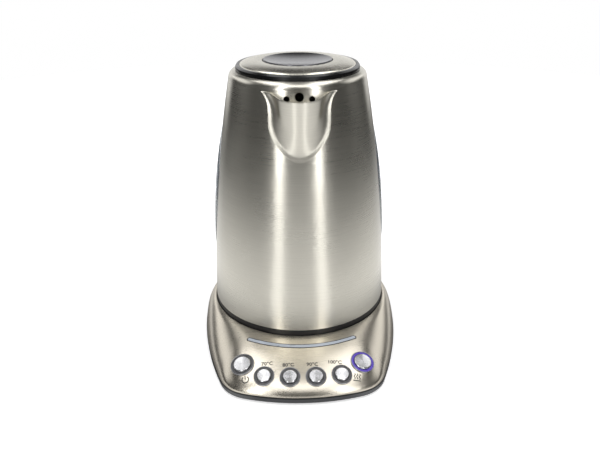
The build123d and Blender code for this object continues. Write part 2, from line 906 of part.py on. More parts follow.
corner_centre = front_meeting(
    front_centre,
    base_front_radius - base_corner_radius,
    side_centre,
    base_side_radius - base_corner_radius,
)
to_side = (corner_centre - side_centre).normalized()
to_front = (corner_centre - front_centre).normalized()


def arc_about(centre, radius, start, end):
    """The short arc about a centre from one point to another."""
    middle = ((start - centre).normalized() + (end - centre).normalized()).normalized()
    return ThreePointArc(start, centre + middle * radius, end)


def flip(point):
    """The mirror image of a plan point."""
    return Vector(-point.X, point.Y)


def base_outline(grow=0.0):
    """The base's plan outline of seven tangent arcs, moved outwards by grow."""
    rear_radius = base_half_width + grow
    widest = Vector(rear_radius, base_rear_centre)
    corner_side = corner_centre + to_side * (base_corner_radius + grow)
    corner_front = corner_centre + to_front * (base_corner_radius + grow)
    rear = ThreePointArc(widest, (0, base_rear_centre + rear_radius), flip(widest))
    front = ThreePointArc(corner_front, (0, -base_front - grow), flip(corner_front))
    side_radius, corner_radius = base_side_radius + grow, base_corner_radius + grow
    edges = [
        rear,
        arc_about(side_centre, side_radius, widest, corner_side),
        arc_about(corner_centre, corner_radius, corner_side, corner_front),
        front,
        arc_about(flip(corner_centre), corner_radius, flip(corner_front), flip(corner_side)),
        arc_about(flip(side_centre), side_radius, flip(corner_side), flip(widest)),
    ]
    return make_face(Wire(edges))


def base_slab(grow, low, high):
    """A flat slab with the base's plan outline."""
    return extrude(Pos(0, 0, low) * base_outline(grow), high - low)


def bearing(point):
    """Angle of a plan point about the jug's axis, from the front."""
    return math.atan2(abs(point.X), -point.Y)


def base_reach(angle):
    """Distance from the jug's axis to the outline, at an angle from the front."""
    angle = abs(math.remainder(angle, 2 * math.pi))
    if angle < bearing(corner_centre + to_front * base_corner_radius):
        centre, radius = front_centre, base_front_radius
    elif angle < bearing(corner_centre + to_side * base_corner_radius):
        centre, radius = corner_centre, base_corner_radius
    elif angle < bearing(Vector(base_half_width, base_rear_centre)):
        centre, radius = side_centre, base_side_radius
    else:
        centre, radius = rear_centre, base_half_width
    ray = Vector(math.sin(angle), -math.cos(angle))
    along = ray.dot(centre)
    return along + math.sqrt(along**2 - centre.length**2 + radius**2)


# The cover rises from the outline (share 0) to the jug's seat (share 1) as
# (1 - (1 - share)**crown_run)**crown_rise: steep at the edge and flat at the seat.
crown_run = 1.55
crown_rise = 0.6
cover_levels = (0.0, 0.1, 0.22, 0.36, 0.5, 0.64, 0.77, 0.88, 0.96, 1.0)
cover_points = 72


def cover_height(share):
    """Height of the cover's top at a share of the way in from the outline."""
    rise = (1 - (1 - min(max(share, 0.0), 1.0)) ** crown_run) ** crown_rise
    return cover_bottom + cover_crown * rise


def cover_form(inset, drop):
    """The cover as a full solid, moved in by inset and down by drop."""
    sections = []
    for level in cover_levels:
        share = 1 - (1 - level ** (1 / crown_rise)) ** (1 / crown_run)
        points = []
        for k in range(cover_points):
            angle = 2 * math.pi * k / cover_points
            far = base_reach(angle)
            radius = far + (seat_radius - far) * share - inset
            points.append((radius * math.sin(angle), -radius * math.cos(angle), cover_height(share) - drop))
        sections.append(make_face(Wire([Spline(*points, periodic=True)])))
    return loft(sections)


def cover_point(x, y):
    """The point of the cover's top above a plan point."""
    angle, radius = math.atan2(x, -y), math.hypot(x, y)
    far = base_reach(angle)
    return Vector(x, y, cover_height((far - radius) / (far - seat_radius)))


def cover_plane(x, y):
    """The plane that touches the cover's top above a plan point."""
    step = 3.0
    across = cover_point(x + step, y) - cover_point(x - step, y)
    along = cover_point(x, y + step) - cover_point(x, y - step)
    return Plane(origin=cover_point(x, y), x_dir=across, z_dir=across.cross(along))


small_buttons = {
    "temperature_70_button": (-outer_button_x, outer_button_set_back - base_front),
    "temperature_80_button": (-inner_button_x, inner_button_set_back - base_front),
    "temperature_90_button": (inner_button_x, inner_button_set_back - base_front),
    "temperature_100_button": (outer_button_x, outer_button_set_back - base_front),
}
big_buttons = {
    "power_button": (-big_button_x, big_button_set_back - base_front),
    "keep_warm_button": (big_button_x, big_button_set_back - base_front),
}


def on_cover(place, low, high, outer, inner=0.0):
    """A ring or disc that stands square to the cover at a button's place."""
    plane = cover_plane(*place)
    shape = plane * Pos(0, 0, low) * Cylinder(outer, high - low, align=BOTTOM)
    if inner > 0:
        shape -= plane * Pos(0, 0, low - 1) * Cylinder(inner, high - low + 2, align=BOTTOM)
    return shape


def board_plane():
    """The control board's top plane, below the middle of the button row."""
    below = cover_plane(0, inner_button_set_back - base_front).offset(-board_depth).origin
    tilt = math.radians(board_tilt)
    return Plane(origin=below, x_dir=(1, 0, 0), z_dir=(0, -math.sin(tilt), math.cos(tilt)))


def stem_foot(place):
    """How far below the cover a button's stem ends, just above its switch."""
    plane, board = cover_plane(*place), board_plane()
    height = (plane.origin - board.origin).dot(board.z_dir) - switch_height
    lean = plane.z_dir.dot(board.z_dir)
    return height / lean - button_travel - 0.8


def button(place, radius):
    """A metal cap with its retaining flange and its stem."""
    cap = on_cover(place, -cap_depth, cap_proud, radius)
    crown = cap.faces().sort_by(Axis(cover_plane(*place).origin, cover_plane(*place).z_dir))[-1]
    cap = fillet(crown.edges(), 0.5)
    cap += on_cover(place, -cap_depth - 0.9, -cap_depth, radius + 1.0)
    foot = -stem_foot(place)
    return one(cap + on_cover(place, foot, -cap_depth, 2.0))


def button_bezels():
    """The thin bright rings round the six buttons."""
    rings = []
    for place in small_buttons.values():
        rings.append(on_cover(place, -bezel_depth, bezel_proud, small_bezel_radius, small_ring_radius))
    for place in big_buttons.values():
        rings.append(on_cover(place, -bezel_depth, bezel_proud, big_bezel_radius, big_ring_radius))
    return group(rings)


def light_ring(place, outer, cap_radius):
    """The translucent ring between a bezel and its cap."""
    return on_cover(place, -bezel_depth, ring_proud, outer, cap_radius + body_gap)


def light_bar_band(grow, low, high):
    """The curved strip that the light bar fills, between two heights."""
    half = light_bar_width / 2 + grow
    angle = light_bar_half_angle + math.degrees(grow / light_bar_radius)
    outer, inner = light_bar_radius + half, light_bar_radius - half

    def at(radius, degrees):
        turn = math.radians(degrees)
        return Vector(radius * math.sin(turn), -radius * math.cos(turn))

    edges = [
        ThreePointArc(at(outer, -angle), at(outer, 0), at(outer, angle)),
        Line(at(outer, angle), at(inner, angle)),
        ThreePointArc(at(inner, angle), at(inner, 0), at(inner, -angle)),
        Line(at(inner, -angle), at(outer, -angle)),
    ]
    return extrude(Pos(0, 0, low) * make_face(Wire(edges)), high - low)


light_bar_low = cover_point(0, -light_bar_radius).Z - 3.6
gland_height = cover_bottom + 6.4
gland_radius = 5.5
gland_bore = 3.4


def cord_hole(radius):
    """The round hole for the cord's gland, through the back of the base."""
    back = base_rear_centre + base_half_width
    return Pos(0, back, gland_height) * Rot(90, 0, 0) * Cylinder(radius, 30)


def base_cover():
    """The brushed steel top of the base."""
    cover = cover_form(0, 0) - cover_form(cover_wall, cover_wall)
    cover += tube(seat_hole + 0.8, seat_hole, seat_top - collar_depth, seat_top - 0.3)
    cover -= tube(seat_hole, 0, 0, seat_top + 5)
    cover -= light_bar_band(0.1, light_bar_low, seat_top + 5)
    for place in small_buttons.values():
        cover -= on_cover(place, -8, 8, small_bezel_radius)
    for place in big_buttons.values():
        cover -= on_cover(place, -8, 8, big_bezel_radius)
    cover -= cord_hole(gland_radius)
    return max(cover.solids(), key=lambda solid: solid.volume)


def light_bar():
    """The translucent curved strip in the cover, its top following the cover."""
    strip = light_bar_band(0, light_bar_low, seat_top + 5)
    return one(strip & Pos(0, 0, light_bar_proud) * cover_form(0, 0))


def light_board():
    """The narrow curved circuit board under the light bar."""
    board = light_bar_band(1.5, light_bar_low - board_thickness, light_bar_low)
    return one(board)


foot_places = [(side * 56.0, y) for side in (1, -1) for y in (46.0, -base_front + 44.0)]


def rubber_feet():
    """Four round rubber feet let into the tray."""
    top = foot_pad_gap + foot_pad_recess
    return group([upright(x, y, 0, top, foot_pad_radius) for x, y in foot_places])


def base_screw_places():
    """Four screws from under the tray into the seat's bosses."""
    reach = seat_radius - 11
    angles = [math.radians(20 + 46 * k) for k in (0, 3)] + [math.radians(-20 - 46 * k) for k in (0, 3)]
    return [(reach * math.cos(a), reach * math.sin(a)) for a in angles]


def base_tray():
    """The dark plastic underside of the base."""
    tray = base_slab(0, foot_pad_gap, tray_top)
    tray = chamfer(tray.edges().group_by(Axis.Z)[0], 1.2)
    tray -= base_slab(-tray_side, foot_pad_gap + tray_floor, tray_top + 1)
    for x, y in base_screw_places():
        tray += upright(x, y, foot_pad_gap, foot_pad_gap + tray_floor + 2, 4.5)
        tray -= upright(x, y, 0, 20, 1.7)
        tray -= upright(x, y, 0, foot_pad_gap + 1.8, 3.2)
    for x, y in foot_places:
        tray -= upright(x, y, 0, foot_pad_gap + foot_pad_recess, foot_pad_radius)
    for x, y in power_post_places():
        tray += upright(x, y, foot_pad_gap + tray_floor, power_board_low, 2.5)
    return one(tray)


def base_gasket():
    """The thin black line between tray and cover."""
    ring = base_slab(gasket_proud, tray_top, cover_bottom)
    return one(ring - base_slab(-gasket_width, tray_top - 1, cover_bottom + 1))


dish_low = seat_top - collar_depth - 0.2 - 2.4
boss_low = foot_pad_gap + tray_floor + 2


def seat_dish():
    """The black moulding that the jug stands on, with the bosses for the screws."""
    edge = seat_hole - 0.1
    dish = turned_outline(
        (socket_radius + 4, dish_low),
        (edge + 2, dish_low),
        (edge + 2, dish_low + 2.4),
        (edge, dish_low + 2.4),
        (edge, dish_top),
        (edge - 3.2, dish_top),
        (edge - 6.0, dish_top - 2.4),
        (socket_radius + 4, dish_top - 2.4),
    )
    for x, y in base_screw_places():
        dish += upright(x, y, boss_low, dish_low + 0.5, 4.0)
        dish -= upright(x, y, boss_low - 1, dish_low, 1.4)
    return one(dish)


def base_screws():
    """Screws up through the tray into the seat's bosses."""
    head = foot_pad_gap + 1.8
    screws = []
    for x, y in base_screw_places():
        screws.append(upright(x, y, head, dish_low, 1.4) + upright(x, y, foot_pad_gap + 0.3, head, 3.0))
    return group(screws)


socket_top = dish_top + socket_rise


def base_socket():
    """The round power socket that stands up in the middle of the seat."""
    socket = tube(socket_radius, 0, dish_low - 6, socket_top)
    socket += tube(socket_radius + 6, 0, dish_low - 2, dish_low)
    edge = socket.edges().filter_by(GeomType.CIRCLE).sort_by(Axis.Z)[-1]
    socket = fillet(edge, 0.8)
    floor = dish_low - 3
    socket -= tube(pin_radius + 1.6, 0, floor, socket_top + 1)
    for radius in contact_radii:
        half = slot_width / 2
        socket -= tube(radius + half, radius - half, floor, socket_top + 1)
    return one(socket)


def socket_contacts():
    """The live, neutral and earth contacts in the socket's slots."""
    floor, top = dish_low - 3, socket_top - 2
    sleeve = pin_radius + 1.6
    leaves = [tube(sleeve, sleeve - leaf_thickness, floor, top)]
    for radius in contact_radii:
        outer = radius + slot_width / 2
        leaves.append(tube(outer, outer - leaf_thickness, floor, top))
    return group(leaves)


def cord_gland():
    """The rubber bush where the mains cord would leave the base."""
    back = base_rear_centre + base_half_width
    turn = Rot(90, 0, 0)
    bush = Pos(0, back - 3, gland_height) * turn * Cylinder(gland_radius, 10)
    for flange_y in (back + 1.4, back - 7.4):
        bush += Pos(0, flange_y, gland_height) * turn * Cylinder(gland_radius + 0.8, 1.6)
    return one(bush - Pos(0, back, gland_height) * turn * Cylinder(gland_bore, 40))


def control_board():
    """The sloping circuit board under the buttons."""
    plane = board_plane()
    half = big_button_x + 9
    sheet = plane * Pos(0, 9, -board_thickness) * Box(2 * half, 32, board_thickness, align=BOTTOM)
    return one(sheet & base_slab(-tray_side - 4, cover_bottom - 3, seat_top))


def switch_place(place):
    """Where a button's axis meets the control board."""
    plane, board = cover_plane(*place), board_plane()
    height = (plane.origin - board.origin).dot(board.z_dir)
    lean = plane.z_dir.dot(board.z_dir)
    return plane.origin - plane.z_dir * (height / lean)


def button_switches():
    """One small push switch under each button."""
    switches = []
    board = board_plane()
    for place in [*small_buttons.values(), *big_buttons.values()]:
        at = switch_place(place)
        seat = Plane(origin=at, x_dir=board.x_dir, z_dir=board.z_dir)
        body = seat * Box(switch_side, switch_side, switch_height - 0.8, align=BOTTOM)
        switches.append(body + seat * Cylinder(1.6, switch_height, align=BOTTOM))
    return group(switches)


power_board_low = foot_pad_gap + tray_floor + 3
power_board_x = (-58.0, -28.0)
power_board_y = (-30.0, 40.0)


def power_post_places():
    """Posts under the power board's corners."""
    return [(x + dx, y + dy) for x, dx in zip(power_board_x, (4, -4)) for y, dy in zip(power_board_y, (4, -4))]


def power_board():
    """The power circuit board, flat in the left of the base."""
    return one(block(power_board_x, power_board_y, (power_board_low, power_board_low + 1.6)))


def relay():
    """The relay that switches the heater."""
    low = power_board_low + 1.6
    x = sum(power_board_x) / 2
    return one(block((x - 8, x + 8), (-20, 0), (low, dish_low - 1)))


def capacitors():
    """Two round capacitors on the power board."""
    low = power_board_low + 1.6
    x = sum(power_board_x) / 2
    return group([upright(x, y, low, low + 9, 4.5) for y in (12, 26)])


small_places = list(small_buttons.values())
big_places = list(big_buttons.values())

parts = {
    "rubber_feet": rubber_feet(),
    "base_tray": base_tray(),
    "base_gasket": base_gasket(),
    "base_cover": base_cover(),
    "seat_dish": seat_dish(),
    "base_screws": base_screws(),
    "base_socket": base_socket(),
    "socket_contacts": socket_contacts(),
    "cord_gland": cord_gland(),
    "light_bar": light_bar(),
    "light_board": light_board(),
    "button_bezels": button_bezels(),
    "small_light_rings": group([light_ring(p, small_ring_radius, small_cap_radius) for p in small_places]),
    "power_light_ring": one(light_ring(big_places[0], big_ring_radius, big_cap_radius)),
    "keep_warm_light_ring": one(light_ring(big_places[1], big_ring_radius, big_cap_radius)),
    "control_board": control_board(),
    "button_switches": button_switches(),
    "power_board": power_board(),
    "relay": relay(),
    "capacitors": capacitors(),
    "jug_connector": jug_connector(),
    "connector_contacts": connector_contacts(),
    "jug_shell": jug_shell(),
    "spout": spout(),
    "water_window_right": water_window(),
    "water_window_left": mirror(water_window(), Plane.YZ),
    "window_seals": both_sides(window_seal_ring()),
    "window_frames": both_sides(window_frame()),
    "bottom_cover": bottom_cover(),
    "bottom_mount_ring": bottom_mount_ring(),
    "bottom_screws": bottom_screws(),
    "vessel_floor": vessel_floor(),
    "heat_diffuser": heat_diffuser(),
    "heating_element": heating_element(),
    "temperature_probe": temperature_probe(),
    "probe_seal": probe_seal(),
    "control_housing": control_housing(),
    "dry_boil_discs": dry_boil_discs(),
    "hinge_bracket": hinge_bracket(),
    "hinge_pin": hinge_pin(),
    "handle_shell": handle_shell(),
    "handle_grip": handle_grip(),
    "handle_lower_bracket": handle_lower_bracket(),
    "handle_screw": handle_screw(),
    "lid_ring": lid_ring(),
    "lid_cover": lid_cover(),
    "lid_hub": lid_hub(),
    "lid_inner_plate": lid_inner_plate(),
    "lid_seal": lid_seal(),
    "lid_screws": lid_screws(),
    "button_spring": button_spring(),
    "lid_button": lid_button(),
    "latch_right": latch(),
    "latch_left": mirror(latch(), Plane.YZ),
}
for name, place in small_buttons.items():
    parts[name] = button(place, small_cap_radius)
for name, place in big_buttons.items():
    parts[name] = button(place, big_cap_radius)

box = Compound([solid for shape in parts.values() for solid in shape.solids()]).bounding_box()
centring = Vector(-box.center().X, -box.center().Y, 0)

os.makedirs("parts", exist_ok=True)
for name, shape in parts.items():
    export_step(Pos(centring) * shape, f"parts/{name}.step")

# The joint axes in the finished frame, as the record states them.
print("size", [round(v, 2) for v in box.size], "centring", round(centring.X, 3), round(centring.Y, 3))
print("lid_hinge", [0, round(hinge_y + centring.Y, 3), round(hinge_z, 3)])
for name, place in {**small_buttons, **big_buttons}.items():
    print(name, [round(-v, 5) for v in cover_plane(*place).z_dir], [round(v, 2) for v in cover_plane(*place).origin])
print("nodes", len(parts))
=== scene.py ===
import json
import math

import bmesh
import bpy
from mathutils import Matrix, Vector
from mathutils.bvhtree import BVHTree


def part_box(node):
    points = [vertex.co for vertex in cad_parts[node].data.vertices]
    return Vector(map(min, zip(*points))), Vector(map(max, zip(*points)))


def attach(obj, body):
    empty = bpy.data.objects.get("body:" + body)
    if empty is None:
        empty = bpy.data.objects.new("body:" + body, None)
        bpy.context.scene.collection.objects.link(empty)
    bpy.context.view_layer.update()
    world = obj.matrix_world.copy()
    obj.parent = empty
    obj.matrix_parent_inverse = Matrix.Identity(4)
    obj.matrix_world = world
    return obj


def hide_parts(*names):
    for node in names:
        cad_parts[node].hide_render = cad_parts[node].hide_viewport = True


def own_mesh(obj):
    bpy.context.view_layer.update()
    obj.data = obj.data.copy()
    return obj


bl_info = {
    "name": "Cordless Kettle",
    "version": (1, 0, 0),
    "blender": (4, 5, 0),
    "location": "View3D > Sidebar > Kettle",
    "description": "Finishes and fine pieces of a cordless steel kettle on its powered base",
    "category": "Object",
}

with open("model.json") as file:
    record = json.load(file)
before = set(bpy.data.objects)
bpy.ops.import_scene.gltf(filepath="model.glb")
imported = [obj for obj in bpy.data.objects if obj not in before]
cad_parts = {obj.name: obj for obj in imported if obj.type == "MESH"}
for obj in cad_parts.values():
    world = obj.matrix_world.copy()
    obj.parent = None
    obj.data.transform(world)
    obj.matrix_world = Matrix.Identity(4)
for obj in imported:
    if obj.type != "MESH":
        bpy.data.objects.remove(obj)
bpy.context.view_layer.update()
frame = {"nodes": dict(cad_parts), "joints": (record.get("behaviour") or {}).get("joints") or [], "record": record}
MM = 0.001
WHITE = (1, 1, 1)


def node_box(name):
    """Lowest and highest corners of a CAD node."""
    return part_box(name)


def axis_of(name):
    """Plan centre of a round CAD node, as x and y."""
    low, high = node_box(name)
    return (low.x + high.x) / 2, (low.y + high.y) / 2


# ---- places read from the frame ----
JUG_X, JUG_Y = axis_of("bottom_cover")

# height from which rays are cast down on the base's cover, and the lowest height that counts as cover
ABOVE_COVER = 0.05
COVER_FOOT = 0.02
DOWN = Vector((0, 0, -1))


# ================================ settings ================================


class KettleColours(bpy.types.PropertyGroup):
    """Colours of the kettle's finishes."""

    steel: bpy.props.FloatVectorProperty(
        name="Steel",
        description="Tint of the brushed steel",
        subtype="COLOR",
        size=3,
        min=0,
        max=1,
        default=(0.655, 0.632, 0.56),
    )
    black: bpy.props.FloatVectorProperty(
        name="Black mouldings",
        description="Colour of the black plastic",
        subtype="COLOR",
        size=3,
        min=0,
        max=1,
        default=(0.009, 0.009, 0.0095),
    )
    tray: bpy.props.FloatVectorProperty(
        name="Tray",
        description="Colour of the base's plastic tray",
        subtype="COLOR",
        size=3,
        min=0,
        max=1,
        default=(0.075, 0.077, 0.08),
    )
    glow: bpy.props.FloatVectorProperty(
        name="Lit ring",
        description="Light of the keep-warm button's ring",
        subtype="COLOR",
        size=3,
        min=0,
        max=1,
        default=(0.10, 0.05, 0.62),
    )
    ink: bpy.props.FloatVectorProperty(
        name="Prints",
        description="Colour of the printed symbols",
        subtype="COLOR",
        size=3,
        min=0,
        max=1,
        default=(0.02, 0.02, 0.02),
    )


class KettleStudio(bpy.types.PropertyGroup):
    """The camera's lens and place."""

    lens: bpy.props.FloatProperty(
        name="Lens", description="Focal length of the camera", default=38.75, subtype="DISTANCE_CAMERA"
    )
    camera_back: bpy.props.FloatProperty(
        name="Camera distance", description="How far in front of the jug's axis the camera stands",
        default=0.53475, unit="LENGTH",
    )
    camera_height: bpy.props.FloatProperty(
        name="Camera height", description="Height of the camera above the table", default=0.3447,
        unit="LENGTH",
    )
    camera_pitch: bpy.props.FloatProperty(
        name="Camera pitch", description="How far the camera looks down", default=math.radians(24.925),
        subtype="ANGLE",
    )
    camera_roll: bpy.props.FloatProperty(
        name="Camera roll", description="Tilt of the camera about its own view", default=math.radians(-0.4),
        subtype="ANGLE",
    )
    camera_orbit: bpy.props.FloatProperty(
        name="Camera orbit", description="How far the camera stands round to the left",
        default=math.radians(1.3), subtype="ANGLE",
    )
    camera_aside: bpy.props.FloatProperty(
        name="Camera aside", description="How far the camera stands to the right of the jug's axis",
        default=0.0011, unit="LENGTH",
    )


def colours():
    """The scene's colour settings."""
    return bpy.context.scene.kettle_colours


def studio():
    """The scene's camera settings."""
    return bpy.context.scene.kettle_studio


# ================================ node helpers ================================


class Shading:
    """A material's node tree, with short calls for the nodes that the finishes share."""

    def __init__(self, name):
        self.material = bpy.data.materials.new(name)
        self.material.use_nodes = True
        self.tree = self.material.node_tree
        self.tree.nodes.clear()
        self.output = self.node("ShaderNodeOutputMaterial")
        self.shader = self.node("ShaderNodeBsdfPrincipled")
        self.link(self.shader.outputs["BSDF"], self.output.inputs["Surface"])
        self.position = self.node("ShaderNodeTexCoord").outputs["Object"]

    def node(self, kind, **settings):
        """A new node with its settings."""
        made = self.tree.nodes.new(kind)
        for key, value in settings.items():
            setattr(made, key, value)
        return made

    def link(self, out, into):
        self.tree.links.new(out, into)

    def set(self, **values):
        """Sets the shader's own sockets, whose names are written with underscores."""
        for key, value in values.items():
            socket = self.shader.inputs[key.replace("_", " ")]
            if hasattr(value, "__len__") and len(value) == 3 and socket.type == "RGBA":
                value = (*value, 1.0)
            socket.default_value = value

    def mapped(self, scale):
        """Object coordinates, stretched along each axis."""
        mapping = self.node("ShaderNodeMapping")
        mapping.inputs["Scale"].default_value = scale
        self.link(self.position, mapping.inputs["Vector"])
        return mapping.outputs["Vector"]

    def noise(self, scale, detail=2.0, roughness=0.5):
        """A noise whose scale is one number, or three for a stretched one."""
        texture = self.node("ShaderNodeTexNoise")
        texture.inputs["Detail"].default_value = detail
        texture.inputs["Roughness"].default_value = roughness
        if hasattr(scale, "__len__"):
            texture.inputs["Scale"].default_value = 1.0
            self.link(self.mapped(scale), texture.inputs["Vector"])
        else:
            texture.inputs["Scale"].default_value = scale
            self.link(self.position, texture.inputs["Vector"])
        return texture.outputs["Fac"]

    def span(self, value, low, high, from_low=0.3, from_high=0.7):
        """A value between 0 and 1, moved to run from low to high."""
        ramp = self.node("ShaderNodeMapRange")
        ramp.inputs["From Min"].default_value = from_low
        ramp.inputs["From Max"].default_value = from_high
        ramp.inputs["To Min"].default_value = low
        ramp.inputs["To Max"].default_value = high
        self.link(value, ramp.inputs["Value"])
        return ramp.outputs["Result"]

    def mixed(self, share, first, second):
        """Two colours mixed by a share."""
        mix = self.node("ShaderNodeMix", data_type="RGBA")
        self.link(share, mix.inputs["Factor"])
        mix.inputs["A"].default_value = (*first, 1)
        mix.inputs["B"].default_value = (*second, 1)
        return mix.outputs["Result"]

    def sum(self, first, second, weight):
        """first plus weight times second."""
        add = self.node("ShaderNodeMath", operation="MULTIPLY_ADD")
        self.link(second, add.inputs[0])
        add.inputs[1].default_value = weight
        self.link(first, add.inputs[2])
        return add.outputs[0]

    def bump(self, height, distance, strength=1.0):
        """Fine relief, as deep as distance in metres."""
        bump = self.node("ShaderNodeBump")
        bump.inputs["Strength"].default_value = strength
        bump.inputs["Distance"].default_value = distance
        self.link(height, bump.inputs["Height"])
        self.link(bump.outputs["Normal"], self.shader.inputs["Normal"])

    def combined(self, operation, first, second):
        """Two sockets joined by a sum or another operation."""
        made = self.node("ShaderNodeMath", operation=operation)
        self.link(first, made.inputs[0])
        self.link(second, made.inputs[1])
        return made.outputs[0]

    def size_of(self, value):
        """A value without its sign."""
        made = self.node("ShaderNodeMath", operation="ABSOLUTE")
        self.link(value, made.inputs[0])
        return made.outputs[0]

    def feed(self, out, socket):
        """Links an output to one of the shader's own sockets."""
        self.link(out, self.shader.inputs[socket])


def shade(colour, factor):
    """A colour made lighter or darker."""
    return tuple(min(1.0, channel * factor) for channel in colour)


# ================================ finishes ================================


# lowest and highest value of the two streak noises together
STREAK_RANGE = (0.45, 1.05)


def brushed(name, tint, grain, rough=(0.25, 0.32), anisotropy=0.75, turn=None):
    """Brushed steel. grain is the streaks' stretch along x, y and z; turn is None for a grain that
    runs round the piece's own upright axis, or the direction across the grain."""
    look = Shading(name)
    streaks = look.noise(grain, detail=3.0, roughness=0.65)
    fine = look.noise(tuple(2.7 * s for s in grain), detail=2.0)
    marks = look.noise(22.0, detail=3.0)
    both = look.sum(streaks, fine, 0.5)
    streak_share = look.span(both, 0, 1, *STREAK_RANGE)
    look.feed(look.mixed(streak_share, shade(tint, 0.93), shade(tint, 1.06)), "Base Color")
    roughness = look.sum(look.span(both, *rough, *STREAK_RANGE), look.span(marks, -0.02, 0.03), 1.0)
    look.feed(roughness, "Roughness")
    look.set(Metallic=1.0, Anisotropic=anisotropy)
    if turn is None:
        look.set(Anisotropic_Rotation=0.25)
        tangent = look.node("ShaderNodeTangent", direction_type="RADIAL", axis="Z")
        look.feed(tangent.outputs["Tangent"], "Tangent")
    else:
        along = look.node("ShaderNodeCombineXYZ")
        for axis, value in zip("XYZ", turn):
            along.inputs[axis].default_value = value
        look.feed(along.outputs["Vector"], "Tangent")
    look.bump(both, 0.00002, 0.09 if turn is None else 0.06)
    return look.material


def moulded(name, colour, rough, grain=900.0, depth=0.00003, coat=0.0):
    """Moulded plastic with a fine spark texture and faint handling marks."""
    look = Shading(name)
    pits = look.noise(grain, detail=2.0)
    marks = look.noise(35.0, detail=4.0, roughness=0.6)
    look.feed(look.mixed(look.span(marks, 0, 1), shade(colour, 0.88), shade(colour, 1.15)), "Base Color")
    look.feed(look.sum(look.span(marks, rough - 0.05, rough + 0.06), pits, 0.04), "Roughness")
    look.set(Coat_Weight=coat, Coat_Roughness=0.08)
    look.bump(pits, depth, 0.5)
    return look.material


def rubber(name, colour, rough=0.75):
    """Matt rubber with a soft, dusty bloom."""
    look = Shading(name)
    dust = look.noise(120.0, detail=5.0, roughness=0.7)
    look.feed(look.mixed(look.span(dust, 0, 1), shade(colour, 0.8), shade(colour, 1.5)), "Base Color")
    look.feed(look.span(dust, rough - 0.08, rough + 0.08), "Roughness")
    look.set(Sheen_Weight=0.15, Sheen_Roughness=0.5)
    look.bump(dust, 0.00005, 0.4)
    return look.material


def plain_metal(name, tint, rough, scale=160.0):
    """Unbrushed metal with a slight mottle."""
    look = Shading(name)
    mottle = look.noise(scale, detail=4.0, roughness=0.6)
    look.feed(look.mixed(look.span(mottle, 0, 1), shade(tint, 0.86), shade(tint, 1.1)), "Base Color")
    look.feed(look.span(mottle, rough - 0.04, rough + 0.06), "Roughness")
    look.set(Metallic=1.0)
    look.bump(mottle, 0.00002, 0.2)
    return look.material


def translucent(name, colour, rough, through, glow=None, strength=0.0):
    """Translucent moulding, lit from inside where glow is given."""
    look = Shading(name)
    cloud = look.noise(70.0, detail=3.0)
    look.feed(look.mixed(look.span(cloud, 0, 1), shade(colour, 0.9), shade(colour, 1.1)), "Base Color")
    look.feed(look.span(cloud, rough - 0.03, rough + 0.04), "Roughness")
    look.set(Transmission_Weight=through, IOR=1.49)
    if glow:
        look.set(Emission_Color=glow, Emission_Strength=strength)
    return look.material


def all_finishes():
    """Every slot's material, by the slot's name in the record."""
    c = colours()
    steel, black = tuple(c.steel), tuple(c.black)
    warm_steel = (0.62, 0.575, 0.49)
    round_grain, base_grain, lid_grain = (22.0, 22.0, 2400.0), (10, 2000, 2000), (8, 1800, 1800)
    across = (0, 1, 0)
    return {
        "jug_steel": brushed("jug_steel", steel, round_grain, (0.26, 0.31)),
        "spout_steel": brushed("spout_steel", shade(steel, 1.12), round_grain, (0.32, 0.38), 0.6),
        "base_steel": brushed("base_steel", warm_steel, base_grain, (0.24, 0.32), 0.7, across),
        # painted light: the lid's steel is a lighter copy of the jug's steel, standing in for the light that falls
        # on its top
        "lid_steel": brushed("lid_steel", shade(steel, 1.3), lid_grain, (0.2, 0.27), 0.6, across),
        "inner_steel": plain_metal("inner_steel", (0.5, 0.5, 0.5), 0.38),
        "black_plastic": moulded("black_plastic", black, 0.42),
        "handle_black": moulded("handle_black", shade(black, 1.2), 0.38, 700.0, 0.00004),
        "soft_grip": rubber("soft_grip", shade(black, 1.6), 0.7),
        "trim_black": moulded("trim_black", shade(black, 0.5), 0.22, 500.0, 0.00001, 0.2),
        "tray_grey": moulded("tray_grey", tuple(c.tray), 0.4),
        "lid_button_grey": plain_metal("lid_button_grey", (0.15, 0.15, 0.162), 0.16, 500.0),
        "black_rubber": moulded("black_rubber", (0.006, 0.006, 0.006), 0.55, 300.0),
        "silicone": rubber("silicone", (0.45, 0.46, 0.47), 0.5),
        "window_clear": translucent("window_clear", (0.80, 0.86, 0.95), 0.08, 0.9),
        "light_bar_plastic": translucent("light_bar_plastic", (0.55, 0.60, 0.68), 0.3, 0.15),
        "ring_smoke": translucent("ring_smoke", (0.10, 0.10, 0.105), 0.35, 0.2),
        "ring_lit": translucent("ring_lit", (0.12, 0.08, 0.4), 0.25, 0.3, tuple(c.glow), 0.25),
        "bezel_chrome": plain_metal("bezel_chrome", (0.38, 0.38, 0.39), 0.3),
        "button_metal": brushed("button_metal", (0.5, 0.5, 0.51), (700, 700, 30), (0.2, 0.26), 0.9),
        "contact_brass": plain_metal("contact_brass", (0.7, 0.52, 0.22), 0.3),
        "diffuser_aluminium": plain_metal("diffuser_aluminium", (0.6, 0.61, 0.62), 0.45),
        "element_sheath": plain_metal("element_sheath", (0.25, 0.24, 0.23), 0.5),
        "circuit_board": moulded("circuit_board", (0.03, 0.16, 0.06), 0.35, 300.0),
        "component_black": moulded("component_black", (0.02, 0.02, 0.02), 0.5),
        "capacitor_can": plain_metal("capacitor_can", (0.4, 0.4, 0.43), 0.35),
        "screw_steel": plain_metal("screw_steel", (0.55, 0.55, 0.55), 0.28),
        "latch_acetal": moulded("latch_acetal", (0.7, 0.7, 0.68), 0.4),
        "print_ink": moulded("print_ink", tuple(c.ink), 0.5, 1500.0, 0.00001),
    }


FINISHES = {}


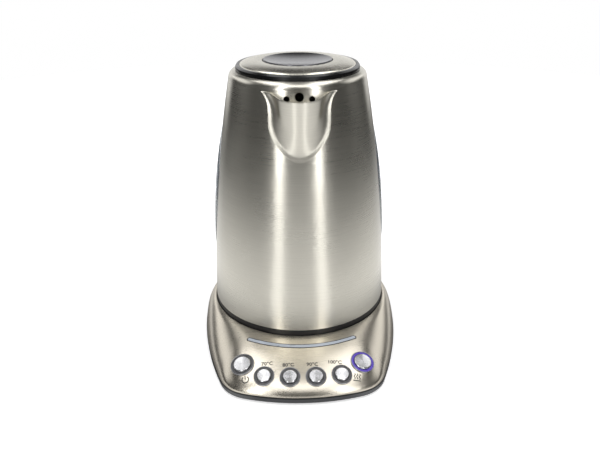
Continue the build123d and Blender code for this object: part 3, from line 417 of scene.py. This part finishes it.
def dress(piece, slot, body, *nodes):
    """Gives a piece its slot's finish and its body, and hides the CAD nodes that it stands for."""
    piece.data.materials.append(FINISHES[slot])
    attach(piece, body)
    if nodes:
        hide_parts(*nodes)
    return piece


# ================================ mesh helpers ================================


def shape_to_object(name, shape, place=None, smooth_angle=None):
    """A bmesh as an object in the scene, smooth-shaded but for edges sharper than smooth_angle."""
    bmesh.ops.remove_doubles(shape, verts=shape.verts[:], dist=1e-7)
    bmesh.ops.recalc_face_normals(shape, faces=shape.faces[:])
    for face in shape.faces:
        face.smooth = True
    if smooth_angle is not None:
        for edge in shape.edges:
            if len(edge.link_faces) == 2 and edge.calc_face_angle() > smooth_angle:
                edge.smooth = False
    mesh = bpy.data.meshes.new(name)
    shape.to_mesh(mesh)
    shape.free()
    made = bpy.data.objects.new(name, mesh)
    bpy.context.scene.collection.objects.link(made)
    if place is not None:
        made.matrix_world = place
    return made


def lathed(name, outline, place, steps=96):
    """A piece turned about its own z, from an outline of (radius, height) in millimetres. A closed
    outline makes a ring; one whose ends have no radius makes a solid."""
    shape = bmesh.new()
    turns = []
    for k in range(steps):
        angle = 2 * math.pi * k / steps
        turns.append([
            shape.verts.new((r * MM * math.cos(angle), r * MM * math.sin(angle), h * MM))
            for r, h in outline
        ])
    closed = outline[0][0] > 0
    count = len(outline)
    for k in range(steps):
        here, after = turns[k], turns[(k + 1) % steps]
        for m in range(count if closed else count - 1):
            n = (m + 1) % count
            shape.faces.new((here[m], after[m], after[n], here[n]))
    return shape_to_object(name, shape, place, math.radians(50))


def eased(outline, steps=4):
    """An outline with its inner corners rounded. Each point is (radius, height, rounding)."""
    soft = []
    count = len(outline)
    for k, (r, h, *rounding) in enumerate(outline):
        bend = rounding[0] if rounding else 0.0
        if not bend:
            soft.append((r, h))
            continue
        corner = Vector((r, h))
        before = Vector(outline[k - 1][:2]) - corner
        after = Vector(outline[(k + 1) % count][:2]) - corner
        start = corner + before.normalized() * min(bend, before.length * 0.49)
        end = corner + after.normalized() * min(bend, after.length * 0.49)
        for step in range(steps + 1):
            t = step / steps
            point = start * (1 - t) ** 2 + corner * 2 * t * (1 - t) + end * t * t
            soft.append((point.x, point.y))
    return soft


def tree_of(*names):
    """Search tree over the meshes of CAD nodes, at rest, in the row frame."""
    places, faces = [], []
    for name in names:
        node = frame["nodes"][name]
        first = len(places)
        places += [node.matrix_world @ v.co for v in node.data.vertices]
        faces += [[first + v for v in face.vertices] for face in node.data.polygons]
    return BVHTree.FromPolygons(places, faces)


def smooth_step(value, low, high):
    """0 below low, 1 above high, and a soft rise between them."""
    share = min(1.0, max(0.0, (value - low) / (high - low)))
    return share * share * (3 - 2 * share)


def root(function, low, high, steps=26):
    """Where a rising function crosses zero between low and high."""
    for _ in range(steps):
        middle = (low + high) / 2
        if function(middle) < 0:
            low = middle
        else:
            high = middle
    return (low + high) / 2


# ================================ operators ================================


class KETTLE_OT_finishes(bpy.types.Operator):
    """Give every CAD node the material of its slot"""

    bl_idname = "kettle.finishes"
    bl_label = "Finishes"

    def execute(self, context):
        FINISHES.update(all_finishes())
        for entry in frame["record"]["subparts"]:
            node = frame["nodes"][entry["node"]]
            node.data.materials.clear()
            node.data.materials.append(FINISHES[entry["material_slot"]])
        return {"FINISHED"}


# ---- spout ----


class SpoutForm:
    """The pressed spout's surface, in millimetres about the jug's axis with the front towards -y: the
    jug's side and a flared beak run together by a hollow fillet."""

    height = 43.0
    rim_fall = 2.0
    reach = 20.0
    wall = 0.9
    pole = -45.0
    top_drop = 3.0
    nose_foot, nose_growth = 15.0, 2.6
    flare, flare_start, flare_power = math.radians(24), 0.33, 1.3
    fillet_foot, fillet_growth, fillet_fall = 3.6, 4.0, 4.4
    bare_bearing = math.radians(48)

    def __init__(self):
        low, high = node_box("spout")
        self.tree = tree_of("jug_shell")
        self.tip_top = (JUG_Y - low.y) / MM
        self.top = high.z / MM - self.top_drop
        self.foot = self.top - self.height
        self.heights = [self.foot - 30 + step for step in range(0, 81, 2)]
        self.radii = [self.measured(z) for z in self.heights]
        self.foot_tip = self.side(self.foot) - 0.5
        self.low = root(self.fillet_past_beak, self.foot - 28, self.foot)

    def fillet_past_beak(self, z):
        """Above 0 where the fillet reaches the beak's tip on the jug's side."""
        return self.fillet(z) - self.beak(0, -self.side(z), z)

    def measured(self, z):
        """The jug's radius at a height, found on the CAD shell between the spout and a window."""
        out = Vector((math.sin(self.bare_bearing), -math.cos(self.bare_bearing), 0))
        start = Vector((JUG_X, JUG_Y, z * MM)) + out * 0.2
        place, *_ = self.tree.ray_cast(start, -out)
        if place is None:
            raise RuntimeError(f"the jug's side was not met at {z:.0f} mm")
        return (Vector((JUG_X, JUG_Y, z * MM)) - place).length / MM

    def side(self, z):
        """The jug's radius at a height, between the measured ones."""
        step = self.heights[1] - self.heights[0]
        share = min(max((z - self.heights[0]) / step, 0), len(self.radii) - 1.001)
        k = int(share)
        return self.radii[k] + (self.radii[k + 1] - self.radii[k]) * (share - k)

    def fillet(self, z):
        """Reach of the fillet at a height."""
        low = smooth_step(z, self.foot - 6, self.top - 24)
        high = smooth_step(z, self.top - 22, self.top + 2)
        return self.fillet_foot + self.fillet_growth * low - self.fillet_fall * high

    def beak(self, x, y, z):
        """Distance outside the beak's plan outline at a height."""
        share = (z - self.foot) / self.height
        tip = self.foot_tip + (self.tip_top - self.foot_tip) * share
        nose = self.nose_foot + self.nose_growth * share
        rise = max(0.0, (share - self.flare_start) / (1 - self.flare_start))
        lean = self.flare * rise ** self.flare_power
        x, y = abs(x), y + tip - nose
        if x * math.sin(lean) + y * math.cos(lean) < 0:
            return math.hypot(x, y) - nose
        return x * math.cos(lean) - y * math.sin(lean) - nose

    def outside(self, x, y, z):
        """Below 0 inside the jug or the beak, with the fillet between them."""
        jug, beak, reach = math.hypot(x, y) - self.side(z), self.beak(x, y, z), self.fillet(z)
        blend = max(reach - abs(jug - beak), 0) / reach
        return min(jug, beak) - blend * blend * reach / 4

    def edge_angle(self, z):
        """Angle about the pole at which the fillet runs out on the jug's side."""
        side, reach = self.side(z), self.fillet(z)

        def past(bearing):
            return self.beak(side * math.sin(bearing), -side * math.cos(bearing), z) - reach

        bearing = root(past, 0.0, 1.2)
        return math.atan2(side * math.sin(bearing), side * math.cos(bearing) + self.pole)

    def point(self, angle, z, level):
        """Where the ray from the pole meets the surface raised by level."""
        ahead, across = -math.cos(angle), math.sin(angle)

        def past(t):
            return self.outside(t * across, self.pole + t * ahead, z) - level

        reach = root(past, 0.0, 70.0)
        return reach * across, self.pole + reach * ahead, z

    def rim(self, y):
        """Height of the rim plane at a depth."""
        return self.top + self.rim_fall + (y + self.side(self.top)) * self.rim_fall / self.reach


class KETTLE_OT_spout(bpy.types.Operator):
    """Make the pressed spout with its hollow fillet, raised edge and rounded rim"""

    bl_idname = "kettle.spout"
    bl_label = "Spout"

    columns: bpy.props.IntProperty(name="Columns", description="Strips across half the spout", default=48)
    rows: bpy.props.IntProperty(name="Rows", description="Strips from the foot to the rim", default=60)
    edge: bpy.props.FloatProperty(
        name="Edge", description="How far the flange's edge stands off the jug, in millimetres", default=0.75
    )
    lip = 0.45

    def execute(self, context):
        form = SpoutForm()
        half = self.columns
        shares = [k / half for k in range(-half, half + 1)]
        loops = [self.loop(form, share) for share in shares]
        shape = bmesh.new()
        grid = [[shape.verts.new(self.placed(p)) for p in loop] for loop in loops]
        count = len(grid[0])
        for here, after in zip(grid, grid[1:]):
            for m in range(count):
                n = (m + 1) % count
                shape.faces.new((here[m], after[m], after[n], here[n]))
        for end in (grid[0], grid[-1]):
            for m in range(count // 2):
                if count - 2 - m > m + 1:
                    shape.faces.new((end[m], end[m + 1], end[count - 2 - m], end[count - 1 - m]))
        bmesh.ops.dissolve_degenerate(shape, dist=1e-7, edges=shape.edges[:])
        made = shape_to_object("spout_pressing", shape, None, math.radians(55))
        dress(made, "spout_steel", "jug", "spout")
        return {"FINISHED"}

    def placed(self, point):
        """A point of the form in the row frame."""
        return (JUG_X + point[0] * MM, JUG_Y + point[1] * MM, point[2] * MM)

    def loop(self, form, share):
        """One strip's outline: up the outside, over the rim and down the inside."""
        outer, inner = [], []
        spread = math.copysign(abs(share) ** 0.9, share)
        angle = spread * form.edge_angle(form.top)
        crown = form.rim(form.point(angle, form.top, 0.0)[1])
        sink = 1.6 if abs(share) > 0.999 else 0.0
        for k in range(self.rows + 1):
            z = form.low + 0.05 + (crown - self.lip - form.low) * (k / self.rows) ** 1.7
            angle = spread * form.edge_angle(z)
            bare = form.point(angle, z, 0.0)
            stand = self.edge * smooth_step(form.beak(*bare) / form.fillet(z), 0.5, 0.92)
            outer.append(form.point(angle, z, stand - sink * self.edge))
            inner.append(form.point(angle, z, -form.wall))
        rim = []
        angle = spread * form.edge_angle(crown)
        for turn in (45, 90, 135):
            lift = math.radians(turn)
            level = -form.wall / 2 * (1 - math.cos(lift))
            at = form.point(angle, crown, level)
            rim.append((at[0], at[1], crown - self.lip * (1 - math.sin(lift))))
        return outer + rim + inner[::-1]


# ---- lid ----


class KETTLE_OT_lid(bpy.types.Operator):
    """Make the lid's domed cover and its dished button with rounded edges"""

    bl_idname = "kettle.lid"
    bl_label = "Lid"

    def execute(self, context):
        low, high = node_box("lid_cover")
        place = Matrix.Translation((JUG_X, JUG_Y, low.z))
        outer, crest = (high.x - low.x) / 2 / MM, (high.z - low.z) / MM
        hole, flat, fall, bend = 29.0, 31, 2.5, 2.1
        dome = [
            (r, crest - fall * ((r - flat) / (outer - flat)) ** bend)
            for r in (flat, 33, 35, 37, 39, 41, 43, 45, 46.2)
        ]
        outline = [(hole, 0.0), (hole, crest, 0.5), *dome, (outer, 0.7, 0.6), (outer, 0.0)]
        cover = lathed("lid_dome", eased(outline), place, 144)
        dress(cover, "lid_steel", "lid", "lid_cover")
        self.make_button()
        return {"FINISHED"}

    def make_button(self):
        """The dished button: a thin plate with a skirt and a stem."""
        low, high = node_box("lid_button")
        place = Matrix.Translation((JUG_X, JUG_Y, low.z))
        radius, top = (high.x - low.x) / 2 / MM, (high.z - low.z) / MM
        depth, dish_edge = 2.2, 27.4
        dish = [
            (r, top - 0.02 - depth * (1 - (r / dish_edge) ** 2))
            for r in (0, 3, 6, 9, 12, 15, 18, 20, 22, 24, 25.5, 26.6)
        ]
        wall, stem, under, skirt, stem_foot = 1.2, 5.8, top - 3.5, top - 4.6, 1.6
        outline = [
            *dish, (27.5, top, 0.35), (radius, top - 0.25, 0.45), (radius, skirt, 0.2),
            (radius - wall, skirt, 0.2), (radius - wall, top - 1.6), (stem, under, 0.4),
            (stem, stem_foot), (0, stem_foot),
        ]
        button = lathed("lid_button_dish", eased(outline), place, 144)
        dress(button, "lid_button_grey", "lid_button", "lid_button")
        self.make_spring()

    def make_spring(self):
        """The coil under the button, made at its rest length; the real coil shortens as the button goes down."""
        low, high = node_box("button_spring")
        wire = 0.55 * MM
        coil = (high.x - low.x) / 2 - wire
        rise = high.z - low.z - 2 * wire - 0.1 * MM
        count, around, turns = 160, 10, 4
        shape = bmesh.new()
        loops = []
        for k in range(count + 1):
            share = k / count
            angle = 2 * math.pi * turns * share
            out = Vector((math.cos(angle), math.sin(angle), 0))
            climb = smooth_step(share, -0.05, 1.05)
            middle = Vector((JUG_X, JUG_Y, low.z + wire + rise * climb)) + out * coil
            loops.append([
                shape.verts.new(middle + (out * math.cos(a) + Vector((0, 0, 1)) * math.sin(a)) * wire)
                for a in (2 * math.pi * m / around for m in range(around))
            ])
        for here, after in zip(loops, loops[1:]):
            for m in range(around):
                n = (m + 1) % around
                shape.faces.new((here[m], here[n], after[n], after[m]))
        shape.faces.new(loops[0][::-1])
        shape.faces.new(loops[-1])
        spring = shape_to_object("button_coil", shape, None, math.radians(60))
        dress(spring, "screw_steel", "lid", "button_spring")
        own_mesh(spring)


# ---- base buttons ----


SMALL, LARGE = 5.75, 7.25
BUTTONS = (
    ("temperature_70", SMALL), ("temperature_80", SMALL), ("temperature_90", SMALL),
    ("temperature_100", SMALL), ("power", LARGE), ("keep_warm", LARGE),
)
# height of a cap over its seat, depth of the buttons' pieces below it, and reach of the ring past the cap
CAP_HEIGHT = 1.6
SUNK = -1.2
RING_REACH = 2.15


def joint_named(name):
    """A joint of the frame."""
    for joint in frame["joints"]:
        if joint["name"] == name:
            return joint
    raise RuntimeError(f"the frame has no joint {name}")


def button_place(name):
    """A button's own frame: z along its axis outwards, x level, the origin at its seat in the cover."""
    node = frame["nodes"][name + "_button"]
    out = -Vector(joint_named(name + "_button_press")["axis"]).normalized()
    across = Vector((0, 0, 1)).cross(out).normalized()
    up = out.cross(across)
    places = [node.matrix_world @ v.co for v in node.data.vertices]

    def middle(way):
        """Middle of the button's spread along a direction."""
        spans = [p.dot(way) for p in places]
        return (min(spans) + max(spans)) / 2

    seat = max(p.dot(out) for p in places) - CAP_HEIGHT * MM
    place = Matrix((across, up, out)).transposed().to_4x4()
    place.translation = across * middle(across) + up * middle(up) + out * seat
    return place


class KETTLE_OT_buttons(bpy.types.Operator):
    """Make the spun caps, translucent rings and chromed bezels of the six buttons"""

    bl_idname = "kettle.buttons"
    bl_label = "Buttons"

    def execute(self, context):
        rings = {"power": "power_light_ring", "keep_warm": "keep_warm_light_ring"}
        for name, radius in BUTTONS:
            place = button_place(name)
            cap = lathed("cap_" + name, eased(self.cap(radius)), place, 72)
            dress(cap, "button_metal", name + "_button", name + "_button")
            ring = lathed("ring_" + name, eased(self.ring(radius)), place, 72)
            slot = "ring_lit" if name == "keep_warm" else "ring_smoke"
            dress(ring, slot, "base", rings.get(name, "small_light_rings"))
            bezel = lathed("bezel_" + name, eased(self.bezel(radius)), place, 72)
            dress(bezel, "bezel_chrome", "base", "button_bezels")
        return {"FINISHED"}

    def cap(self, radius):
        """Outline of a spun cap."""
        return [
            (0, 1.35), (radius * 0.3, 1.37), (radius * 0.6, 1.44), (radius - 0.95, 1.55, 0.15),
            (radius - 0.75, CAP_HEIGHT, 0.1), (radius - 0.15, 1.25, 0.3), (radius, 0.4), (radius, SUNK),
            (0, SUNK),
        ]

    def ring(self, radius):
        """Outline of the ring round a cap."""
        near, wide = radius + 0.2, radius + RING_REACH
        return [
            (near, SUNK), (near, 0.1, 0.15), (radius + 0.7, 0.45, 0.3), (wide - 0.5, 0.35, 0.3),
            (wide, 0.1, 0.1), (wide, SUNK),
        ]

    def bezel(self, radius):
        """Outline of the bezel round a ring."""
        inner, outer = radius + RING_REACH, radius + 2.75
        return [
            (inner, SUNK), (inner, 0.5, 0.12), (inner + 0.3, 0.55, 0.1), (outer, 0.3, 0.25), (outer, SUNK),
        ]


# ---- light bar ----


class KETTLE_OT_light_bar(bpy.types.Operator):
    """Make the dark gasket round the light bar, with its closed ends"""

    bl_idname = "kettle.light_bar"
    bl_label = "Light bar"

    half_width = 1.5
    seam = 0.55
    inner_share = 0.985

    def execute(self, context):
        low, high = node_box("light_bar")
        reach = (JUG_Y - low.y) / MM - 1.4
        half = math.asin((high.x - low.x) / 2 / MM / (reach + 0.4))
        cover = tree_of("base_cover", "light_bar")
        shape = bmesh.new()
        rows = []
        count = 90
        for k in range(count + 1):
            bearing = half * (2 * k / count - 1)
            past = max(0.0, abs(bearing) - half * self.inner_share) / (half * 0.015)
            wide = self.half_width * math.sqrt(max(0.0, 1 - past * past))
            rows.append((bearing, wide))
        outer = [(b, w + self.seam) for b, w in rows]
        inner = [(b * self.inner_share, w) for b, w in rows]
        self.level = None
        for side in (-1, 1):
            rails = []
            for (b0, w0), (b1, w1) in zip(inner, outer):
                section = (
                    (b0, w0, -0.2), (b0, w0, 0.16), (b1, (w0 + w1) / 2, 0.24), (b1, w1, 0.16), (b1, w1, -0.2),
                )
                rails.append([self.on_cover(cover, b, reach + side * w, lift) for b, w, lift in section])
            made = [[shape.verts.new(p) for p in rail] for rail in rails]
            for here, after in zip(made, made[1:]):
                for m in range(4):
                    shape.faces.new((here[m], after[m], after[m + 1], here[m + 1]))
        piece = shape_to_object("light_bar_gasket", shape, None, math.radians(60))
        dress(piece, "black_rubber", "base")
        return {"FINISHED"}

    def on_cover(self, cover, bearing, radius, lift):
        """A place on the cover, raised by lift; past its edge, at the last height that was met."""
        across, ahead = radius * MM * math.sin(bearing), radius * MM * math.cos(bearing)
        start = Vector((JUG_X + across, JUG_Y - ahead, ABOVE_COVER))
        place, *_ = cover.ray_cast(start, DOWN)
        if place is not None and place.z > COVER_FOOT:
            self.level = place.z
        elif self.level is None:
            raise RuntimeError("the base's cover was not met beside the light bar")
        return Vector((start.x, start.y, self.level + lift * MM))


# ---- prints ----


class KETTLE_OT_prints(bpy.types.Operator):
    """Lay the temperature figures and the two symbols on the base's cover"""

    bl_idname = "kettle.prints"
    bl_label = "Prints"

    figure_size = 4.5
    figure_back = 9.9
    print_lift = 0.00013

    def execute(self, context):
        self.cover = tree_of("base_cover")
        figures = (
            ("temperature_70", "70", 2.4), ("temperature_80", "80", -1.2), ("temperature_90", "90", -2.6),
            ("temperature_100", "100", -5.2),
        )
        for name, figure, shift in figures:
            shape = self.lettering(figure + "\u00b0C", self.figure_size)
            self.lay("print_" + figure, shape, name, shift, self.figure_back)
        self.lay("print_power", self.power_symbol(), "power", 2.8, -12.4)
        self.lay("print_keep_warm", self.warm_symbol(), "keep_warm", -5.6, -13.0)
        return {"FINISHED"}

    def lettering(self, words, size):
        """Flat letters as a mesh, centred, with capitals about 0.7 of size tall, in millimetres."""
        curve = bpy.data.curves.new("letters", "FONT")
        curve.body = words
        curve.size = size
        curve.align_x = "CENTER"
        curve.align_y = "CENTER"
        curve.resolution_u = 3
        curve.offset = 0.09
        holder = bpy.data.objects.new("letters", curve)
        bpy.context.scene.collection.objects.link(holder)
        bpy.context.view_layer.update()
        seen = holder.evaluated_get(bpy.context.evaluated_depsgraph_get())
        mesh = bpy.data.meshes.new_from_object(seen)
        shape = bmesh.new()
        shape.from_mesh(mesh)
        bpy.data.objects.remove(holder)
        bpy.data.curves.remove(curve)
        bpy.data.meshes.remove(mesh)
        return shape

    def stroke(self, shape, path, width):
        """A flat line of one width along a path."""
        rails = []
        for k, here in enumerate(path):
            before, after = Vector(path[max(k - 1, 0)]), Vector(path[min(k + 1, len(path) - 1)])
            along = (after - before).normalized()
            side = Vector((-along.y, along.x)) * width / 2
            rails.append([shape.verts.new((here[0] + f * side.x, here[1] + f * side.y, 0)) for f in (-1, 1)])
        for (a, b), (c, d) in zip(rails, rails[1:]):
            shape.faces.new((a, c, d, b))

    def power_symbol(self):
        """An open ring with an upright stroke."""
        shape = bmesh.new()
        radius, gap, width = 2.6, 32, 0.75
        turns = [math.radians(90 + gap + k * (360 - 2 * gap) / 40) for k in range(41)]
        self.stroke(shape, [(radius * math.cos(t), radius * math.sin(t) - 0.3) for t in turns], width)
        self.stroke(shape, [(0, y) for y in (-0.3, 1.0, 2.2, 3.2)], width)
        return shape

    def warm_symbol(self):
        """Three wavy lines over a level one."""
        shape = bmesh.new()
        for x in (-2, 0, 2):
            heights = [-1.7 + 4.6 * k / 16 for k in range(17)]
            self.stroke(shape, [(x + 0.5 * math.sin((y + 1.7) * 2.1), y) for y in heights], 0.62)
        self.stroke(shape, [(x, -2.8) for x in (-3, -1.5, 0, 1.5, 3)], 0.7)
        return shape

    def lay(self, name, shape, button, across, back):
        """Lays a flat shape on the cover, so far to the right of a button and behind it."""
        origin = button_place(button).translation + Vector((across, back, 0)) * MM
        spot, lean = self.below(origin)
        slope = (Vector((0, 1, 0)) - lean * lean.y).normalized()
        bmesh.ops.triangulate(shape, faces=shape.faces[:])
        bmesh.ops.subdivide_edges(shape, edges=shape.edges[:], cuts=1)
        for vert in shape.verts:
            start = spot + Vector((1, 0, 0)) * vert.co.x * MM + slope * vert.co.y * MM
            place, normal = self.below(start)
            vert.co = place + normal * self.print_lift
        made = shape_to_object(name, shape)
        made.data.materials.append(FINISHES["print_ink"])
        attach(made, "base")

    def below(self, start):
        """The cover's surface and normal under a place."""
        place, normal, *_ = self.cover.ray_cast(Vector((start.x, start.y, ABOVE_COVER)), DOWN)
        if place is None:
            place, normal, *_ = self.cover.find_nearest(start)
        return place, normal


def area_light(name, place, target, size, power):
    """A rectangular soft light at a place, aimed at a target."""
    light = bpy.data.lights.new(name, "AREA")
    light.shape = "RECTANGLE"
    light.size, light.size_y = size
    light.energy = power
    light.color = WHITE
    lamp = bpy.data.objects.new(name, light)
    lamp.location = place
    lamp.rotation_euler = (Vector(target) - Vector(place)).to_track_quat("-Z", "Y").to_euler()
    bpy.context.scene.collection.objects.link(lamp)


class KETTLE_OT_studio(bpy.types.Operator):
    """Make the pale floor, the soft lights and the camera"""

    bl_idname = "kettle.studio"
    bl_label = "Studio"

    floor_radius = 1.3
    ceiling = 1.15
    strip_bearing = math.radians(27)
    streak_bearing = math.radians(25)

    def execute(self, context):
        scene, s = context.scene, studio()
        scene.view_settings.view_transform = "Standard"
        self.make_floor(scene)
        self.make_surround(scene)
        self.make_lights()
        self.make_camera(scene, s)
        return {"FINISHED"}

    def make_floor(self, scene):
        """A pale disc that fades to white, with its own glow dimmer near the kettle as a painted shade round its
        foot, and that gives mirrored rays a shaped light of its own, dark right beside the kettle as a painted
        shadow.
        """
        mesh = bpy.data.meshes.new("floor")
        shape = bmesh.new()
        bmesh.ops.create_circle(shape, cap_ends=True, segments=128, radius=self.floor_radius)
        shape.to_mesh(mesh)
        shape.free()
        floor = bpy.data.objects.new("floor", mesh)
        scene.collection.objects.link(floor)
        look = Shading("floor_paper")
        tooth = look.noise(300.0, detail=3.0)
        look.feed(look.mixed(look.span(tooth, 0, 1), (0.90, 0.90, 0.90), (0.93, 0.93, 0.93)), "Base Color")
        length = look.node("ShaderNodeVectorMath", operation="LENGTH")
        look.link(look.position, length.inputs[0])
        # painted shade: the floor's glow is dimmer near the floor's middle, where the kettle stands, and rises to
        # white further out
        look.feed(look.span(length.outputs["Value"], 0.45, 1.0, 0.10, 0.35), "Emission Strength")
        look.set(Roughness=0.9, Emission_Color=WHITE)
        mirrored = look.node("ShaderNodeEmission")
        # painted shadow in reflections: the mirrored glow is dark close to the floor's middle, just beside the
        # kettle's foot
        near = look.span(length.outputs["Value"], 0.15, 1.0, 0.11, 0.17)
        far = look.span(length.outputs["Value"], 1.1, 0.05, 0.2, 0.75)
        product = look.combined("MULTIPLY", near, far)
        split = look.node("ShaderNodeSeparateXYZ")
        look.link(look.position, split.inputs["Vector"])
        ahead = look.node("ShaderNodeMath", operation="SUBTRACT")
        ahead.inputs[0].default_value = JUG_Y
        look.link(split.outputs["Y"], ahead.inputs[1])
        bearing = look.size_of(look.combined("ARCTAN2", split.outputs["X"], ahead.outputs[0]))
        off = look.node("ShaderNodeMath", operation="SUBTRACT")
        look.link(bearing, off.inputs[0])
        off.inputs[1].default_value = self.streak_bearing
        streak = look.span(look.size_of(off.outputs[0]), 0.0, 0.6, 0.15, 0.06)
        sector = look.span(bearing, 0.0, 1.0, 0.85, 0.45)
        reach = look.span(length.outputs["Value"], 0.0, 0.42, 0.3, 0.6)
        ahead_light = look.combined("MULTIPLY", sector, reach)
        total = look.sum(look.sum(product, streak, 1.0), ahead_light, 1.0)
        look.link(total, mirrored.inputs["Strength"])
        mix = look.node("ShaderNodeMixShader")
        look.link(look.node("ShaderNodeLightPath").outputs["Is Camera Ray"], mix.inputs["Fac"])
        look.link(mirrored.outputs["Emission"], mix.inputs[1])
        look.link(look.shader.outputs["BSDF"], mix.inputs[2])
        look.link(mix.outputs["Shader"], look.output.inputs["Surface"])
        floor.data.materials.append(look.material)

    def make_surround(self, scene):
        """White to the camera; in reflections a dark room with a white wall behind the kettle."""
        world = bpy.data.worlds.new("studio")
        scene.world = world
        world.use_nodes = True
        tree = world.node_tree
        tree.nodes.clear()

        def node(kind, **settings):
            made = tree.nodes.new(kind)
            for key, value in settings.items():
                setattr(made, key, value)
            return made

        def step(value, from_low, from_high, low, high):
            made = node("ShaderNodeMapRange", interpolation_type="SMOOTHSTEP")
            made.inputs["From Min"].default_value = from_low
            made.inputs["From Max"].default_value = from_high
            made.inputs["To Min"].default_value = low
            made.inputs["To Max"].default_value = high
            tree.links.new(value, made.inputs["Value"])
            return made.outputs["Result"]

        def joined(operation, first, second):
            made = node("ShaderNodeMath", operation=operation)
            tree.links.new(first, made.inputs[0])
            tree.links.new(second, made.inputs[1])
            return made.outputs[0]

        split = node("ShaderNodeSeparateXYZ")
        tree.links.new(node("ShaderNodeTexCoord").outputs["Generated"], split.inputs["Vector"])
        depth, height = split.outputs["Y"], split.outputs["Z"]
        behind, wall_top = step(depth, 0.60, 0.82, 0.02, 1.0), step(height, 0.27, 0.46, 1.15, 0.0)
        wall = joined("MULTIPLY", behind, wall_top)
        ceiling = step(height, 0.82, 0.95, 0.02, 0.12)
        lit = node("ShaderNodeBackground")
        aside = node("ShaderNodeMath", operation="ABSOLUTE")
        tree.links.new(split.outputs["X"], aside.inputs[0])
        beside, past_front = step(aside.outputs[0], 0.45, 0.62, 0.0, 1.0), step(depth, -0.15, 0.2, 0.0, 1.5)
        side = joined("MULTIPLY", beside, past_front)
        band_foot, band_top = step(height, 0.16, 0.32, 0.0, 1.0), step(height, 0.6, 0.72, 1.0, 0.0)
        band = joined("MULTIPLY", band_foot, band_top)
        around = joined("ADD", wall, joined("MULTIPLY", side, band))
        tree.links.new(joined("ADD", around, ceiling), lit.inputs["Strength"])
        seen = node("ShaderNodeBackground")
        seen.inputs["Color"].default_value = (*WHITE, 1)
        mix = node("ShaderNodeMixShader")
        tree.links.new(node("ShaderNodeLightPath").outputs["Is Camera Ray"], mix.inputs["Fac"])
        tree.links.new(lit.outputs["Background"], mix.inputs[1])
        tree.links.new(seen.outputs["Background"], mix.inputs[2])
        tree.links.new(mix.outputs["Shader"], node("ShaderNodeOutputWorld").inputs["Surface"])

    def make_lights(self):
        """Three soft lights overhead, one in front and a tall strip on each side of the camera."""
        back, front = JUG_Y + 0.05, JUG_Y - 0.68
        for x, name in ((-0.40, "overhead_left"), (0.40, "overhead_right")):
            area_light(name, (x, back, self.ceiling), (x, back, 0), (0.46, 1.1), 4.0)
        area_light("overhead_middle", (0, back, self.ceiling), (0, back, 0), (0.34, 1.1), 0.3)
        area_light("overhead_front", (0, front, 1.10), (0, JUG_Y - 0.2, 0), (0.6, 0.4), 2.4)
        away, strip_z = 1.1, 0.65
        ahead = JUG_Y - away * math.cos(self.strip_bearing)
        for side, name in ((-1, "strip_left"), (1, "strip_right")):
            place = (side * away * math.sin(self.strip_bearing), ahead, strip_z)
            area_light(name, place, (0, JUG_Y, 0.3), (0.22, 1.15), 3.7)

    def make_camera(self, scene, s):
        """The camera, set by its place round the jug's axis."""
        camera = bpy.data.objects.new("camera", bpy.data.cameras.new("camera"))
        camera.data.sensor_width = 36.0
        camera.data.lens = s.lens
        camera.data.clip_start = 0.01
        orbit = Matrix.Rotation(-s.camera_orbit, 4, "Z")
        place = Matrix.Translation((s.camera_aside, -s.camera_back, s.camera_height))
        look_down = Matrix.Rotation(math.pi / 2 - s.camera_pitch, 4, "X")
        roll = Matrix.Rotation(s.camera_roll, 4, "Z")
        camera.matrix_world = Matrix.Translation((JUG_X, JUG_Y, 0)) @ orbit @ place @ look_down @ roll
        scene.collection.objects.link(camera)
        scene.camera = camera


# ================================ panel and registration ================================

CLASSES = (
    KettleColours, KettleStudio, KETTLE_OT_finishes, KETTLE_OT_spout, KETTLE_OT_lid, KETTLE_OT_buttons,
    KETTLE_OT_light_bar, KETTLE_OT_prints, KETTLE_OT_studio,
)


class KETTLE_PT_panel(bpy.types.Panel):
    """The kettle's settings and steps, in the 3D view's sidebar"""

    bl_idname = "KETTLE_PT_panel"
    bl_label = "Kettle"
    bl_space_type = "VIEW_3D"
    bl_region_type = "UI"
    bl_category = "Kettle"

    def draw(self, context):
        for settings in (colours(), studio()):
            for key in settings.__annotations__:
                self.layout.prop(settings, key)
        for made in CLASSES:
            if issubclass(made, bpy.types.Operator):
                self.layout.operator(made.bl_idname)


def register():
    for made in (*CLASSES, KETTLE_PT_panel):
        bpy.utils.register_class(made)
    bpy.types.Scene.kettle_colours = bpy.props.PointerProperty(type=KettleColours)
    bpy.types.Scene.kettle_studio = bpy.props.PointerProperty(type=KettleStudio)


def unregister():
    del bpy.types.Scene.kettle_studio
    del bpy.types.Scene.kettle_colours
    for made in reversed((*CLASSES, KETTLE_PT_panel)):
        bpy.utils.unregister_class(made)


def main():
    register()
    bpy.ops.kettle.finishes()
    bpy.ops.kettle.spout()
    bpy.ops.kettle.lid()
    bpy.ops.kettle.buttons()
    bpy.ops.kettle.light_bar()
    bpy.ops.kettle.prints()
    bpy.ops.kettle.studio()


if __name__ == "__main__":
    main()
